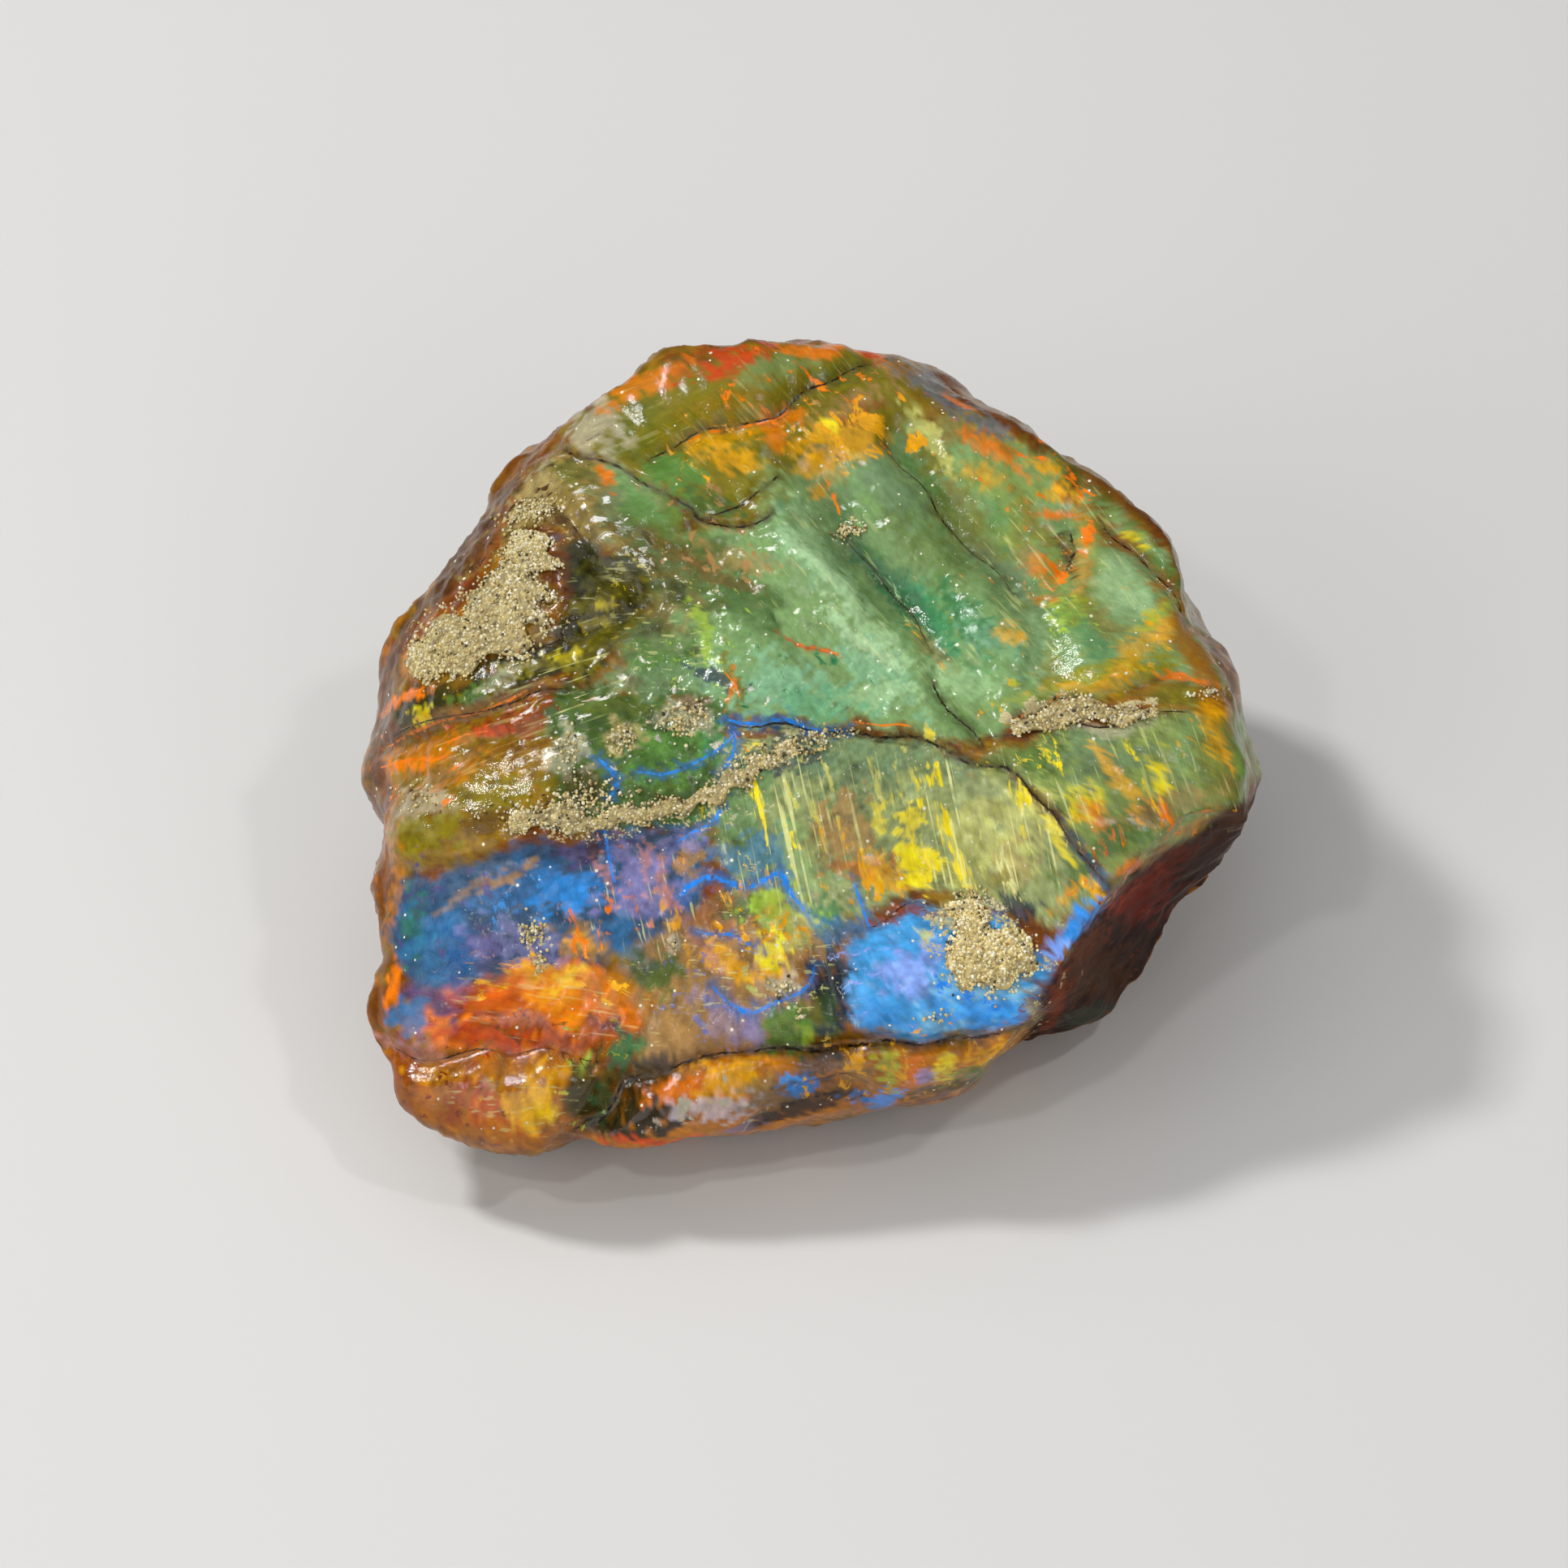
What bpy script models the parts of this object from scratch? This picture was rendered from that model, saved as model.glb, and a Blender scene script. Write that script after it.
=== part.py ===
"""Rough lump of green and blue amber with sandy matrix stuck to it, at real size in metres.

The lump is star shaped: a ray from its heart meets the skin once. How far the skin lies along a ray is
a soft meeting of flat facets, scaled so that the lump fills its outline as seen from 45 degrees above
its front. The ledges, flutes, cracks and bumps of the face are then added to that distance.

Places on the face are written in face units, x to the right and y down, on the plane that faces the
viewer. One unit is the lump's width divided by OUTLINE_SPAN, about 0.055 mm.
"""
import math

import bpy
import numpy as np
from mathutils import Vector
from mathutils.bvhtree import BVHTree

MM = 0.001
LUMP_WIDTH = 60.0          # mm across, left to right
OUTLINE_SPAN = 1096.0      # the same width in face units
UNIT = LUMP_WIDTH / OUTLINE_SPAN
FACE_CENTRE = (1006.0, 914.0)
VIEW_TILT = math.radians(45.0)
HEART_HEIGHT = 17.5        # mm from the resting plane to the heart
FACET_POWER = 11.0         # higher is sharper where facets meet
GRID_STEPS = 64            # cells along each side of the ball grid
LUMP_SHARE = 0.160         # share of the grid's triangles that the lump keeps

CRUST_GAP = 0.55           # mm between amber and matrix, towards the viewer
CRUST_EDGE = 0.35          # mm, thickness of a crust at its rim

OUTLINE = (
    (1554, 934), (1545, 905), (1525, 841), (1496, 780), (1460, 698), (1429, 651), (1375, 605),
    (1311, 557), (1243, 516), (1186, 484), (1121, 442), (1061, 421), (1000, 416), (929, 418),
    (854, 434), (815, 439), (744, 487), (690, 526), (619, 584), (572, 659), (517, 744),
    (486, 776), (460, 841), (461, 898), (470, 1000), (472, 1121), (479, 1193), (472, 1250),
    (494, 1316), (520, 1364), (579, 1391), (633, 1408), (681, 1409), (700, 1400), (724, 1401),
    (786, 1409), (874, 1402), (981, 1380), (1088, 1356), (1168, 1339), (1240, 1303),
    (1279, 1280), (1350, 1255), (1382, 1216), (1414, 1184), (1457, 1109), (1507, 1055), (1550, 969),
)

# Facets: outward direction (x right, y back, z up) and distance from the heart in mm.
FACETS = (
    ((0.03, -0.30, 0.95), 10.8),     # jade top, leaning towards the viewer
    ((0.00, -0.55, 0.83), 10.1),     # lower half of the face
    ((0.02, -0.95, 0.30), 22.0),     # rim under the long seam
    ((0.00, -0.55, -0.83), 24.3),    # undercut below the rim
    ((-0.55, -0.20, 0.81), 18.0),    # left shoulder
    ((-0.35, -0.60, 0.72), 16.5),    # lower left cheek
    ((-0.98, -0.05, 0.17), 29.3),    # left side
    ((-0.66, 0.45, 0.60), 25.2),     # upper left slope
    ((0.45, -0.10, 0.89), 16.8),     # right shoulder
    ((0.82, 0.25, 0.50), 25.4),      # right slope
    ((0.48, 0.60, 0.64), 25.0),      # upper right slope
    ((0.97, 0.10, -0.20), 29.0),     # right side
    ((0.00, 0.80, 0.60), 27.4),      # slope behind the crown
    ((0.05, 1.00, -0.10), 29.5),     # back
    ((-0.65, 0.72, -0.10), 29.0),    # back left
    ((0.68, 0.72, -0.12), 29.5),     # back right
    ((0.00, 0.60, -0.80), 25.0),     # underside, back
    ((-0.70, -0.10, -0.70), 26.0),   # underside, left
    ((0.72, 0.15, -0.68), 24.5),     # underside, right
)
# The dark fresh break at the lower right: two flat faces with an inner corner between them.
# Directions here are in the viewer's axes: right, up, towards the viewer.
UPPER_BREAK = ((0.56, -0.80, 0.20), 21.0)
LOWER_BREAK = ((0.84, -0.46, 0.28), 24.2)


def face_point(x, y):
    """A place on the face, from face units to mm right of and above the face's centre."""
    return (x - FACE_CENTRE[0]) * UNIT, (FACE_CENTRE[1] - y) * UNIT


def viewer_axes():
    """Rows: right, up and towards the viewer, who looks down on the front by VIEW_TILT."""
    sin, cos = math.sin(VIEW_TILT), math.cos(VIEW_TILT)
    return np.array(((1.0, 0.0, 0.0), (0.0, sin, cos), (0.0, -cos, sin)))


AXES = viewer_axes()


def rounded(points, closed=False, cuts=5):
    """A smooth curve through points: each stretch is cut by a Catmull-Rom cubic."""
    p = np.array(points, float)
    before, after = (p[-1:], p[:2]) if closed else (2 * p[:1] - p[1:2], 2 * p[-1:] - p[-2:-1])
    p = np.concatenate((before, p, after))
    t = np.linspace(0.0, 1.0, cuts, endpoint=False)[:, None, None]
    a, b, c, d = p[:-3], p[1:-2], p[2:-1], p[3:]
    curve = b + 0.5 * t * (c - a + t * (2 * a - 5 * b + 4 * c - d + t * (3 * (b - c) + d - a)))
    curve = curve.transpose(1, 0, 2).reshape(-1, 2)
    return curve if closed else np.concatenate((curve, p[-2:-1]))


def line(points):
    """A stroke on the face, as a smooth curve in mm."""
    return rounded([face_point(x, y) for x, y in points])


def ripple(p, wavelength, seed, count=20):
    """Smooth uneven hills of about +-1: the sum of plane waves in seeded random directions."""
    rng = np.random.default_rng(seed)
    way = rng.normal(size=(count, 3))
    way /= np.linalg.norm(way, axis=1)[:, None]
    way *= (2 * math.pi / wavelength) * rng.uniform(0.7, 1.4, count)[:, None]
    phase = rng.uniform(0, 2 * math.pi, count)
    return np.sin(p @ way.T + phase).sum(axis=1) / math.sqrt(count / 2)


def smooth_step(low, high, x):
    """0 below low, 1 above high, with a soft S between."""
    t = np.clip((x - low) / (high - low), 0.0, 1.0)
    return t * t * (3 - 2 * t)


def soft_least(a, b, blend):
    """The lesser of two distances, rounded over a width of blend where they cross."""
    h = np.clip(blend - np.abs(a - b), 0.0, None) / blend
    return np.minimum(a, b) - h * h * blend / 4


def facet_reach(ways, facets, power):
    """Distance to the skin of a soft meeting of flat facets: one over the power mean of their pulls."""
    normals = np.array([n for n, _ in facets])
    normals /= np.linalg.norm(normals, axis=1)[:, None]
    pulls = np.clip(ways @ (normals / np.array([[d] for _, d in facets])).T, 1e-6, None)
    most = pulls.max(axis=1)
    return 1 / (most * ((pulls / most[:, None]) ** power).sum(axis=1) ** (1 / power))


def flakes():
    """Shallow flat flakes in seeded random directions, struck off the back and the underside."""
    rng = np.random.default_rng(31)
    normals = rng.normal(size=(26, 3))
    normals[:, 1] = np.abs(normals[:, 1]) * 0.9 + 0.1
    normals /= np.linalg.norm(normals, axis=1)[:, None]
    depths = facet_reach(normals, FACETS, FACET_POWER) * rng.uniform(0.955, 0.99, len(normals))
    return [(tuple(n), d) for n, d in zip(normals, depths) if n[2] < 0.62]


FLAKES = flakes()


def body_reach(ways):
    """Distance from the heart to the skin before the outline and the relief are brought in."""
    drift = np.stack([ripple(ways, 0.9, seed) for seed in (3, 4, 5)], axis=1)
    bent = ways + 0.022 * drift
    bent /= np.linalg.norm(bent, axis=1)[:, None]
    reach = soft_least(facet_reach(bent, FACETS, FACET_POWER), facet_reach(ways, FLAKES, 40.0), 0.5)
    seen = bent @ AXES.T
    upper, lower = (facet_reach(seen, (facet,), 1.0) for facet in (UPPER_BREAK, LOWER_BREAK))
    return soft_least(reach, -soft_least(-upper, -lower, 1.0), 0.5)


def outline_table(turns=360, tilts=121):
    """Turns about the line of sight, the body's own rim there and the rim that the outline wants."""
    turn = np.linspace(-math.pi, math.pi, turns, endpoint=False)
    tilt = np.linspace(-1.2, 1.2, tilts)
    a, b = np.meshgrid(turn, tilt, indexing="ij")
    seen = np.stack((np.cos(b) * np.cos(a), np.cos(b) * np.sin(a), np.sin(b)), axis=-1)
    reach = body_reach(seen.reshape(-1, 3) @ AXES).reshape(a.shape)
    rim = rounded([face_point(x, y) for x, y in OUTLINE], closed=True, cuts=12)
    angle = np.arctan2(rim[:, 1], rim[:, 0])
    order = np.argsort(angle)
    wanted = np.interp(turn, angle[order], np.hypot(*rim.T)[order], period=2 * math.pi)
    return turn, (reach * np.cos(b)).max(axis=1), wanted


RIM_TABLE = outline_table()


def rim_at(seen, column):
    """A column of the rim table, read at the turn of each direction in the viewer's axes."""
    turn = np.arctan2(seen[:, 1], seen[:, 0])
    return np.interp(turn, RIM_TABLE[0], RIM_TABLE[column], period=2 * math.pi)


def smooth_reach(ways):
    """Distance to the smooth skin: the body, drawn out to the outline towards its rim only."""
    seen = ways @ AXES.T
    reach = body_reach(ways)
    own = rim_at(seen, 1)
    near_rim = np.clip(reach * np.hypot(seen[:, 0], seen[:, 1]) / own, 0.0, 1.0) ** 5
    return reach * (1 + (rim_at(seen, 2) / own - 1) * near_rim)


def outward(points):
    """Unit normals of the smooth skin, from how fast points beside it leave it."""
    step = 0.05
    gaps = []
    for axis in range(3):
        moved = points + step * np.eye(3)[axis]
        far = np.linalg.norm(moved, axis=1)
        gaps.append(far - smooth_reach(moved / far[:, None]))
    normals = np.stack(gaps, axis=1)
    return normals / np.linalg.norm(normals, axis=1)[:, None]


def nearest(spots, curve):
    """Distance from spots to a curve, which side they lie on (+1 left of it) and how far along."""
    best = np.full(len(spots), np.inf)
    side = np.ones(len(spots))
    along = np.zeros(len(spots))
    for i in range(len(curve) - 1):
        run = curve[i + 1] - curve[i]
        rel = spots - curve[i]
        t = np.clip(rel @ run / (run @ run), 0.0, 1.0)
        off = rel - t[:, None] * run
        gap = np.hypot(off[:, 0], off[:, 1])
        closer = gap < best
        best[closer] = gap[closer]
        side[closer] = np.sign(run[0] * rel[closer, 1] - run[1] * rel[closer, 0])
        along[closer] = (i + t[closer]) / (len(curve) - 1)
    return best, side, along


def groove(spots, points, width, depth):
    """A rounded furrow along a stroke, deepest on its line."""
    gap, _, along = nearest(spots, line(points))
    return -depth * np.exp(-(gap / width) ** 2) * (0.5 + 0.5 * np.sin(math.pi * along))


def ledge(spots, points, lip, fall):
    """A broken edge: the skin left of the stroke stands up by lip, and sinks back over fall mm."""
    gap, side, along = nearest(spots, line(points))
    s = gap * side
    rise = smooth_step(-0.35, 0.35, s) * np.exp(-np.clip(s, 0.0, None) / fall)
    return lip * rise * smooth_step(0.0, 0.18, along) * smooth_step(1.0, 0.82, along)


def bump(spots, centre, radii, turn, height):
    """A rounded swelling, or a hollow if height is negative."""
    rel = spots - np.array(face_point(*centre))
    c, s = math.cos(math.radians(turn)), math.sin(math.radians(turn))
    x = (rel[:, 0] * c + rel[:, 1] * s) / radii[0]
    y = (rel[:, 1] * c - rel[:, 0] * s) / radii[1]
    return height * np.exp(-(x * x + y * y))


# Strokes of the face. Ledges stand up on the left of their course.
MID_LEDGE = ((850, 872), (900, 884), (979, 894), (1043, 901), (1114, 912), (1164, 923), (1204, 940),
             (1250, 948), (1279, 994), (1307, 1026), (1357, 1084))
RIGHT_LEDGE = ((1225, 900), (1250, 889), (1293, 863), (1340, 848), (1400, 842), (1440, 832),
               (1500, 850), (1538, 862))
LONG_SEAM = ((806, 1318), (860, 1300), (927, 1286), (967, 1281), (1024, 1288), (1101, 1277),
             (1168, 1273), (1222, 1268), (1270, 1257))
CROWN_GROOVE = ((790, 570), (833, 551), (904, 519), (964, 501), (1007, 473), (1079, 446))
CROWN_CRACK = ((675, 548), (733, 573), (794, 598), (861, 641), (910, 648), (950, 636), (966, 600))
FLUTE_A = ((989, 575), (1018, 623), (1068, 701), (1129, 766), (1160, 810))
FLUTE_B = ((1114, 545), (1150, 609), (1214, 694), (1257, 737), (1290, 785), (1289, 845))
FLUTE_C = ((900, 690), (950, 740), (1000, 790), (1050, 840), (1075, 880))
RIGHT_FLUTE = ((1361, 635), (1425, 702), (1457, 748), (1480, 800))
NOTCH_CRACK = ((1150, 840), (1186, 894), (1211, 925))
BACK_CRACK = ((1318, 640), (1312, 690), (1290, 740))
RIB_A = ((960, 640), (1000, 700), (1060, 765), (1129, 812), (1150, 835))
RIB_B = ((1060, 560), (1110, 630), (1165, 700), (1215, 760), (1245, 800))
SHOULDER_RIDGE = ((680, 582), (733, 640), (779, 694), (812, 722))
SHOULDER_LEDGE = ((744, 680), (719, 662), (690, 637), (660, 612))
EYE_HOLLOW = ((711, 668), (766, 700), (783, 735), (761, 760), (704, 791), (640, 822))
LEFT_SEAM = ((462, 930), (547, 894), (601, 869), (690, 846), (760, 838))
LEFT_SEAM_LOW = ((466, 975), (540, 948), (610, 915), (700, 905))
CHEEK_LEDGE = ((470, 1048), (520, 1062), (600, 1050), (700, 1038), (800, 1030), (880, 1010))
ARCH_LEDGE = ((1281, 1190), (1262, 1160), (1215, 1128), (1160, 1116), (1100, 1122), (1048, 1142))
FLAME_FOLD = ((560, 1225), (620, 1200), (690, 1196), (745, 1225), (775, 1250))
FLAME_FOLD_LOW = ((520, 1262), (590, 1262), (660, 1252), (720, 1268))
LOBE_SEAM = ((482, 1290), (528, 1303), (574, 1300), (606, 1288), (650, 1294), (710, 1296), (760, 1300))
LOBE_NOTCH = ((700, 1406), (729, 1377), (761, 1348), (778, 1328), (800, 1314))
FOOT_NOTCH = ((935, 1378), (981, 1350), (1034, 1342), (1060, 1350))
STRAW_FACET = ((905, 930), (930, 1010), (965, 1080), (990, 1135), (1020, 1200), (1050, 1280))


# Ledges: stroke, height of the lip and how far behind it the skin has sunk back, in mm.
LEDGES = (
    (MID_LEDGE, 0.8, 6.0), (RIGHT_LEDGE, 0.8, 5.0), (SHOULDER_LEDGE, 0.7, 2.5), (CHEEK_LEDGE, 0.7, 5.0),
    (ARCH_LEDGE, 0.6, 4.0), (FLAME_FOLD, 0.7, 2.5), (FLAME_FOLD_LOW, 0.5, 2.0), (CROWN_CRACK, 0.7, 4.0),
    (LEFT_SEAM, 0.6, 3.0),
)
# Furrows: stroke, width and depth in mm. A depth below nothing stands up as a rib.
GROOVES = (
    (LONG_SEAM, 0.7, 1.1), (CROWN_GROOVE, 0.9, 0.9), (FLUTE_A, 1.7, 1.5), (FLUTE_B, 1.6, 1.3),
    (FLUTE_C, 1.5, 0.6), (RIGHT_FLUTE, 0.8, 0.8), (NOTCH_CRACK, 0.6, 0.9), (BACK_CRACK, 0.8, 0.7),
    (LEFT_SEAM, 0.7, 0.8), (LEFT_SEAM_LOW, 0.9, 0.7), (EYE_HOLLOW, 1.5, 1.5), (LOBE_SEAM, 0.8, 1.0),
    (LOBE_NOTCH, 1.1, 2.2), (FOOT_NOTCH, 0.9, 1.2), (STRAW_FACET, 0.8, 0.4), (RIB_A, 1.4, -0.7),
    (RIB_B, 1.8, -0.8), (SHOULDER_RIDGE, 1.0, -1.2),
)
# Swellings: centre, half lengths in mm, turn in degrees and height in mm.
BUMPS = (
    ((620, 1350), (7.0, 4.0), -5, 1.6),      # the clear honey lobe
    ((1120, 1065), (5.0, 3.5), 20, -0.5),    # hollow of the gold flash
    ((1020, 1225), (1.8, 3.2), 10, -0.9),    # dark pit beside the blue field
    ((1165, 1205), (5.5, 3.2), 10, 0.6),     # the blue field
    ((640, 1110), (6.0, 3.5), 15, 0.5),      # blue cheek
    ((590, 1010), (6.0, 2.5), 15, 0.6),      # ochre swell under the left seams
    ((1480, 870), (1.6, 1.6), 0, 0.5),       # olive bead
    ((1345, 1235), (3.6, 2.2), 25, 0.9),     # knob under the break
)
# Uneven hills all over: distance between tops and height in mm, and the seed.
HILLS = ((12.0, 0.15, 10), (6.0, 0.07, 11), (2.8, 0.04, 12))
BACK_HILLS = (9.0, 0.35, 13)
WANDER = (5.0, 0.22, (7, 8))                 # how the strokes stray from their course


def face_relief(spots):
    """Height in mm added to the skin by the ledges, flutes, cracks and bumps of the face."""
    flat = np.concatenate((spots, np.zeros((len(spots), 1))), axis=1)
    wavelength, stray, seeds = WANDER
    spots = spots + np.stack([stray * ripple(flat, wavelength, seed) for seed in seeds], axis=1)
    height = sum(ledge(spots, stroke, lip, fall) for stroke, lip, fall in LEDGES)
    height += sum(groove(spots, stroke, width, depth) for stroke, width, depth in GROOVES)
    return height + sum(bump(spots, *swelling) for swelling in BUMPS)


def lump_skin(ways):
    """Points in mm from the heart, one along each unit direction: smooth skin, then its relief."""
    skin = ways * smooth_reach(ways)[:, None]
    normals = outward(skin)
    seen = skin @ AXES.T
    front = smooth_step(0.02, 0.32, normals @ AXES[2])
    height = front * face_relief(seen[:, :2])
    height += sum(high * ripple(skin, wavelength, seed) for wavelength, high, seed in HILLS)
    wavelength, high, seed = BACK_HILLS
    height += (1 - front) * high * ripple(skin, wavelength, seed)
    return skin + normals * height[:, None]


def ball_grid(steps):
    """Unit directions and quads of a cube blown up to a ball, the quads turned outwards."""
    side = np.arange(steps + 1)
    i, j = np.meshgrid(side, side, indexing="ij")
    corners, quads = [], []
    cell = np.arange((steps + 1) ** 2).reshape(steps + 1, steps + 1)
    for axis in range(3):
        for high in (0, 1):
            spot = np.zeros((steps + 1, steps + 1, 3), int)
            spot[..., axis] = steps * high
            spot[..., (axis + 1) % 3] = i
            spot[..., (axis + 2) % 3] = j
            ring = (cell[:-1, :-1], cell[1:, :-1], cell[1:, 1:], cell[:-1, 1:])
            faces = np.stack(ring if high else ring[::-1], axis=-1).reshape(-1, 4)
            quads.append(faces + sum(len(c) for c in corners))
            corners.append(spot.reshape(-1, 3))
    spots, index = np.unique(np.concatenate(corners), axis=0, return_inverse=True)
    quads = index.reshape(-1)[np.concatenate(quads)]
    cube = np.tan((spots / steps - 0.5) * math.pi / 2)
    return cube / np.linalg.norm(cube, axis=1)[:, None], quads


def stretched(ways, reach=(30.0, 27.0, 20.0), pull=0.3):
    """Directions spread evenly over a flat ball and gathered a little towards the viewer."""
    angle = np.arccos(np.clip(ways[:, 2], -1, 1))
    wide = np.hypot(ways[:, 0], ways[:, 1]) + 1e-12
    moved = angle - pull * np.sin(angle)
    seen = np.stack((ways[:, 0] / wide * np.sin(moved), ways[:, 1] / wide * np.sin(moved),
                     np.cos(moved)), axis=1) * np.array(reach)
    return seen / np.linalg.norm(seen, axis=1)[:, None] @ AXES


def make_object(name, points, faces, material):
    """A mesh object from points in metres and faces, with one material."""
    mesh = bpy.data.meshes.new(name)
    mesh.from_pydata([tuple(p) for p in points], [], [tuple(int(i) for i in f) for f in faces])
    mesh.materials.append(material)
    mesh.update()
    obj = bpy.data.objects.new(name, mesh)
    bpy.context.scene.collection.objects.link(obj)
    return obj


def make_material(name, colour, roughness, transmission=0.0, ior=1.5):
    """A Principled material with plain values."""
    material = bpy.data.materials.new(name)
    material.use_nodes = True
    shader = material.node_tree.nodes["Principled BSDF"]
    shader.inputs["Base Color"].default_value = (*colour, 1.0)
    shader.inputs["Roughness"].default_value = roughness
    shader.inputs["Metallic"].default_value = 0.0
    shader.inputs["Transmission Weight"].default_value = transmission
    shader.inputs["IOR"].default_value = ior
    return material


def floor_cutter():
    """A block below the resting plane, which cuts the lump's sole flat."""
    size = 0.1
    bpy.ops.mesh.primitive_cube_add(size=size, location=(0.0, 0.0, -size / 2))
    block = bpy.context.object
    block.name = "floor_cutter"
    block.hide_render = True
    block.display_type = "WIRE"
    return block


def amber_lump():
    """The amber: the ball grid carried out to the skin, thinned to facets and cut flat below."""
    grid, quads = ball_grid(GRID_STEPS)
    ways = stretched(grid)
    points = lump_skin(ways)
    points[:, 2] += HEART_HEIGHT
    middle = (points[:, :2].min(axis=0) + points[:, :2].max(axis=0)) / 2
    points[:, :2] -= middle
    amber = make_material("amber", (0.16, 0.33, 0.18), 0.12, transmission=0.5, ior=1.54)
    lump = make_object("amber_lump", points * MM, quads, amber)
    thin = lump.modifiers.new("thin", "DECIMATE")
    thin.ratio = LUMP_SHARE
    sole = lump.modifiers.new("sole", "BOOLEAN")
    sole.operation = "DIFFERENCE"
    sole.object = floor_cutter()
    return lump, middle


# Crusts: places along the middle of each patch, and its half width there, in face units.
CRUST_LEFT = ((648, 652, 30), (645, 700, 52), (628, 745, 66), (590, 785, 66), (545, 812, 50), (506, 832, 26))
CRUST_MIDDLE = ((632, 1018, 14), (680, 1008, 24), (740, 1010, 22), (800, 1002, 20), (860, 990, 22),
                (905, 962, 26), (945, 936, 18), (980, 920, 10))
CRUST_RIGHT = ((1242, 898, 10), (1285, 886, 18), (1330, 872, 18), (1375, 884, 13), (1420, 878, 8))
CRUST_LOWER = ((1180, 1108, 16), (1185, 1140, 34), (1200, 1175, 48), (1235, 1180, 40), (1262, 1150, 22))


def sand_crust(name, course, thickness, tree, middle, material, long_cuts=22, cross_cuts=8):
    """A crust over the face: a low cushion that follows the amber CRUST_GAP in front of it."""
    spots = rounded([face_point(x, y) for x, y, _ in course], cuts=24)
    t = np.linspace(0.0, 1.0, long_cuts + 1)
    at = np.linspace(0.0, 1.0, len(spots))
    mid = np.stack([np.interp(t, at, spots[:, k]) for k in (0, 1)], axis=1)
    half = np.interp(t, np.linspace(0, 1, len(course)), [w * UNIT for _, _, w in course])
    run = np.gradient(mid, axis=0)
    run /= np.linalg.norm(run, axis=1)[:, None]
    cross = np.stack((-run[:, 1], run[:, 0]), axis=1)
    q = np.linspace(-1.0, 1.0, cross_cuts + 1)
    grid = mid[:, None] + cross[:, None] * (half[:, None] * q[None, :])[..., None]
    ends = 1 - np.abs(2 * t - 1) ** 6
    plump = np.sqrt(np.clip(ends[:, None] * (1 - np.abs(q[None, :]) ** 3), 0.0, 1.0))
    towards = Vector(AXES[2])
    low = []
    for u, v in grid.reshape(-1, 2):
        start = (AXES[0] * u + AXES[1] * v + AXES[2] * 60.0 + (0, 0, HEART_HEIGHT)) * MM
        start[:2] -= middle * MM
        hit, _, _, _ = tree.ray_cast(Vector(start), -towards)
        low.append(tuple(hit + towards * CRUST_GAP * MM))
    low = np.array(low)
    rise = CRUST_EDGE + (thickness - CRUST_EDGE) * plump.reshape(-1)
    rise += 0.12 * plump.reshape(-1) * ripple(low / MM, 2.5, 21)
    high = low + np.array(towards) * (rise * MM)[:, None]
    return make_object(name, np.concatenate((low, high)), cushion_faces(grid.shape[:2]), material)


def cushion_faces(shape):
    """Quads of a closed cushion: a bottom grid, a top grid after it and a wall around both."""
    rows, columns = shape
    cell = np.arange(rows * columns).reshape(rows, columns)
    a, b, c, d = cell[:-1, :-1], cell[1:, :-1], cell[1:, 1:], cell[:-1, 1:]
    top = np.stack((a, b, c, d), axis=-1).reshape(-1, 4) + rows * columns
    bottom = top[:, ::-1] - rows * columns
    rim = np.concatenate((cell[:-1, 0], cell[-1, :-1], cell[:0:-1, -1], cell[0, :0:-1]))
    ahead = np.roll(rim, -1)
    wall = np.stack((rim, ahead, ahead + rows * columns, rim + rows * columns), axis=1)
    return np.concatenate((bottom, top, wall))


def build():
    """Clear the scene, then make the lump and the crusts on it."""
    for obj in list(bpy.data.objects):
        bpy.data.objects.remove(obj, do_unlink=True)
    lump, middle = amber_lump()
    tree = BVHTree.FromObject(lump, bpy.context.evaluated_depsgraph_get())
    sand = make_material("sandy_matrix", (0.45, 0.38, 0.2), 0.9)
    sand_crust("sand_crust_left", CRUST_LEFT, 1.5, tree, middle, sand)
    sand_crust("sand_crust_middle", CRUST_MIDDLE, 1.1, tree, middle, sand, 30, 6)
    sand_crust("sand_crust_right", CRUST_RIGHT, 0.9, tree, middle, sand, 16, 5)
    sand_crust("sand_crust_lower", CRUST_LOWER, 1.2, tree, middle, sand, 16, 7)


build()
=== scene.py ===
# %% [markdown]
# # A rough lump of blue and green amber
#
# The real thing is fossil resin, dug up as a lump about 60 mm wide. Fresh breaks are flat and glassy,
# old skin is waxy, and sand from the bed still clings to it. Light goes in, is scattered by milky
# layers and comes out jade, teal, sky blue and violet, or honey and ember where the resin is clear.
# The solid model gives the lump and its crusts. This lesson makes their finished surfaces.

import math

import bpy
import numpy as np
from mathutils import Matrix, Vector
from mathutils.bvhtree import BVHTree


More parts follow.
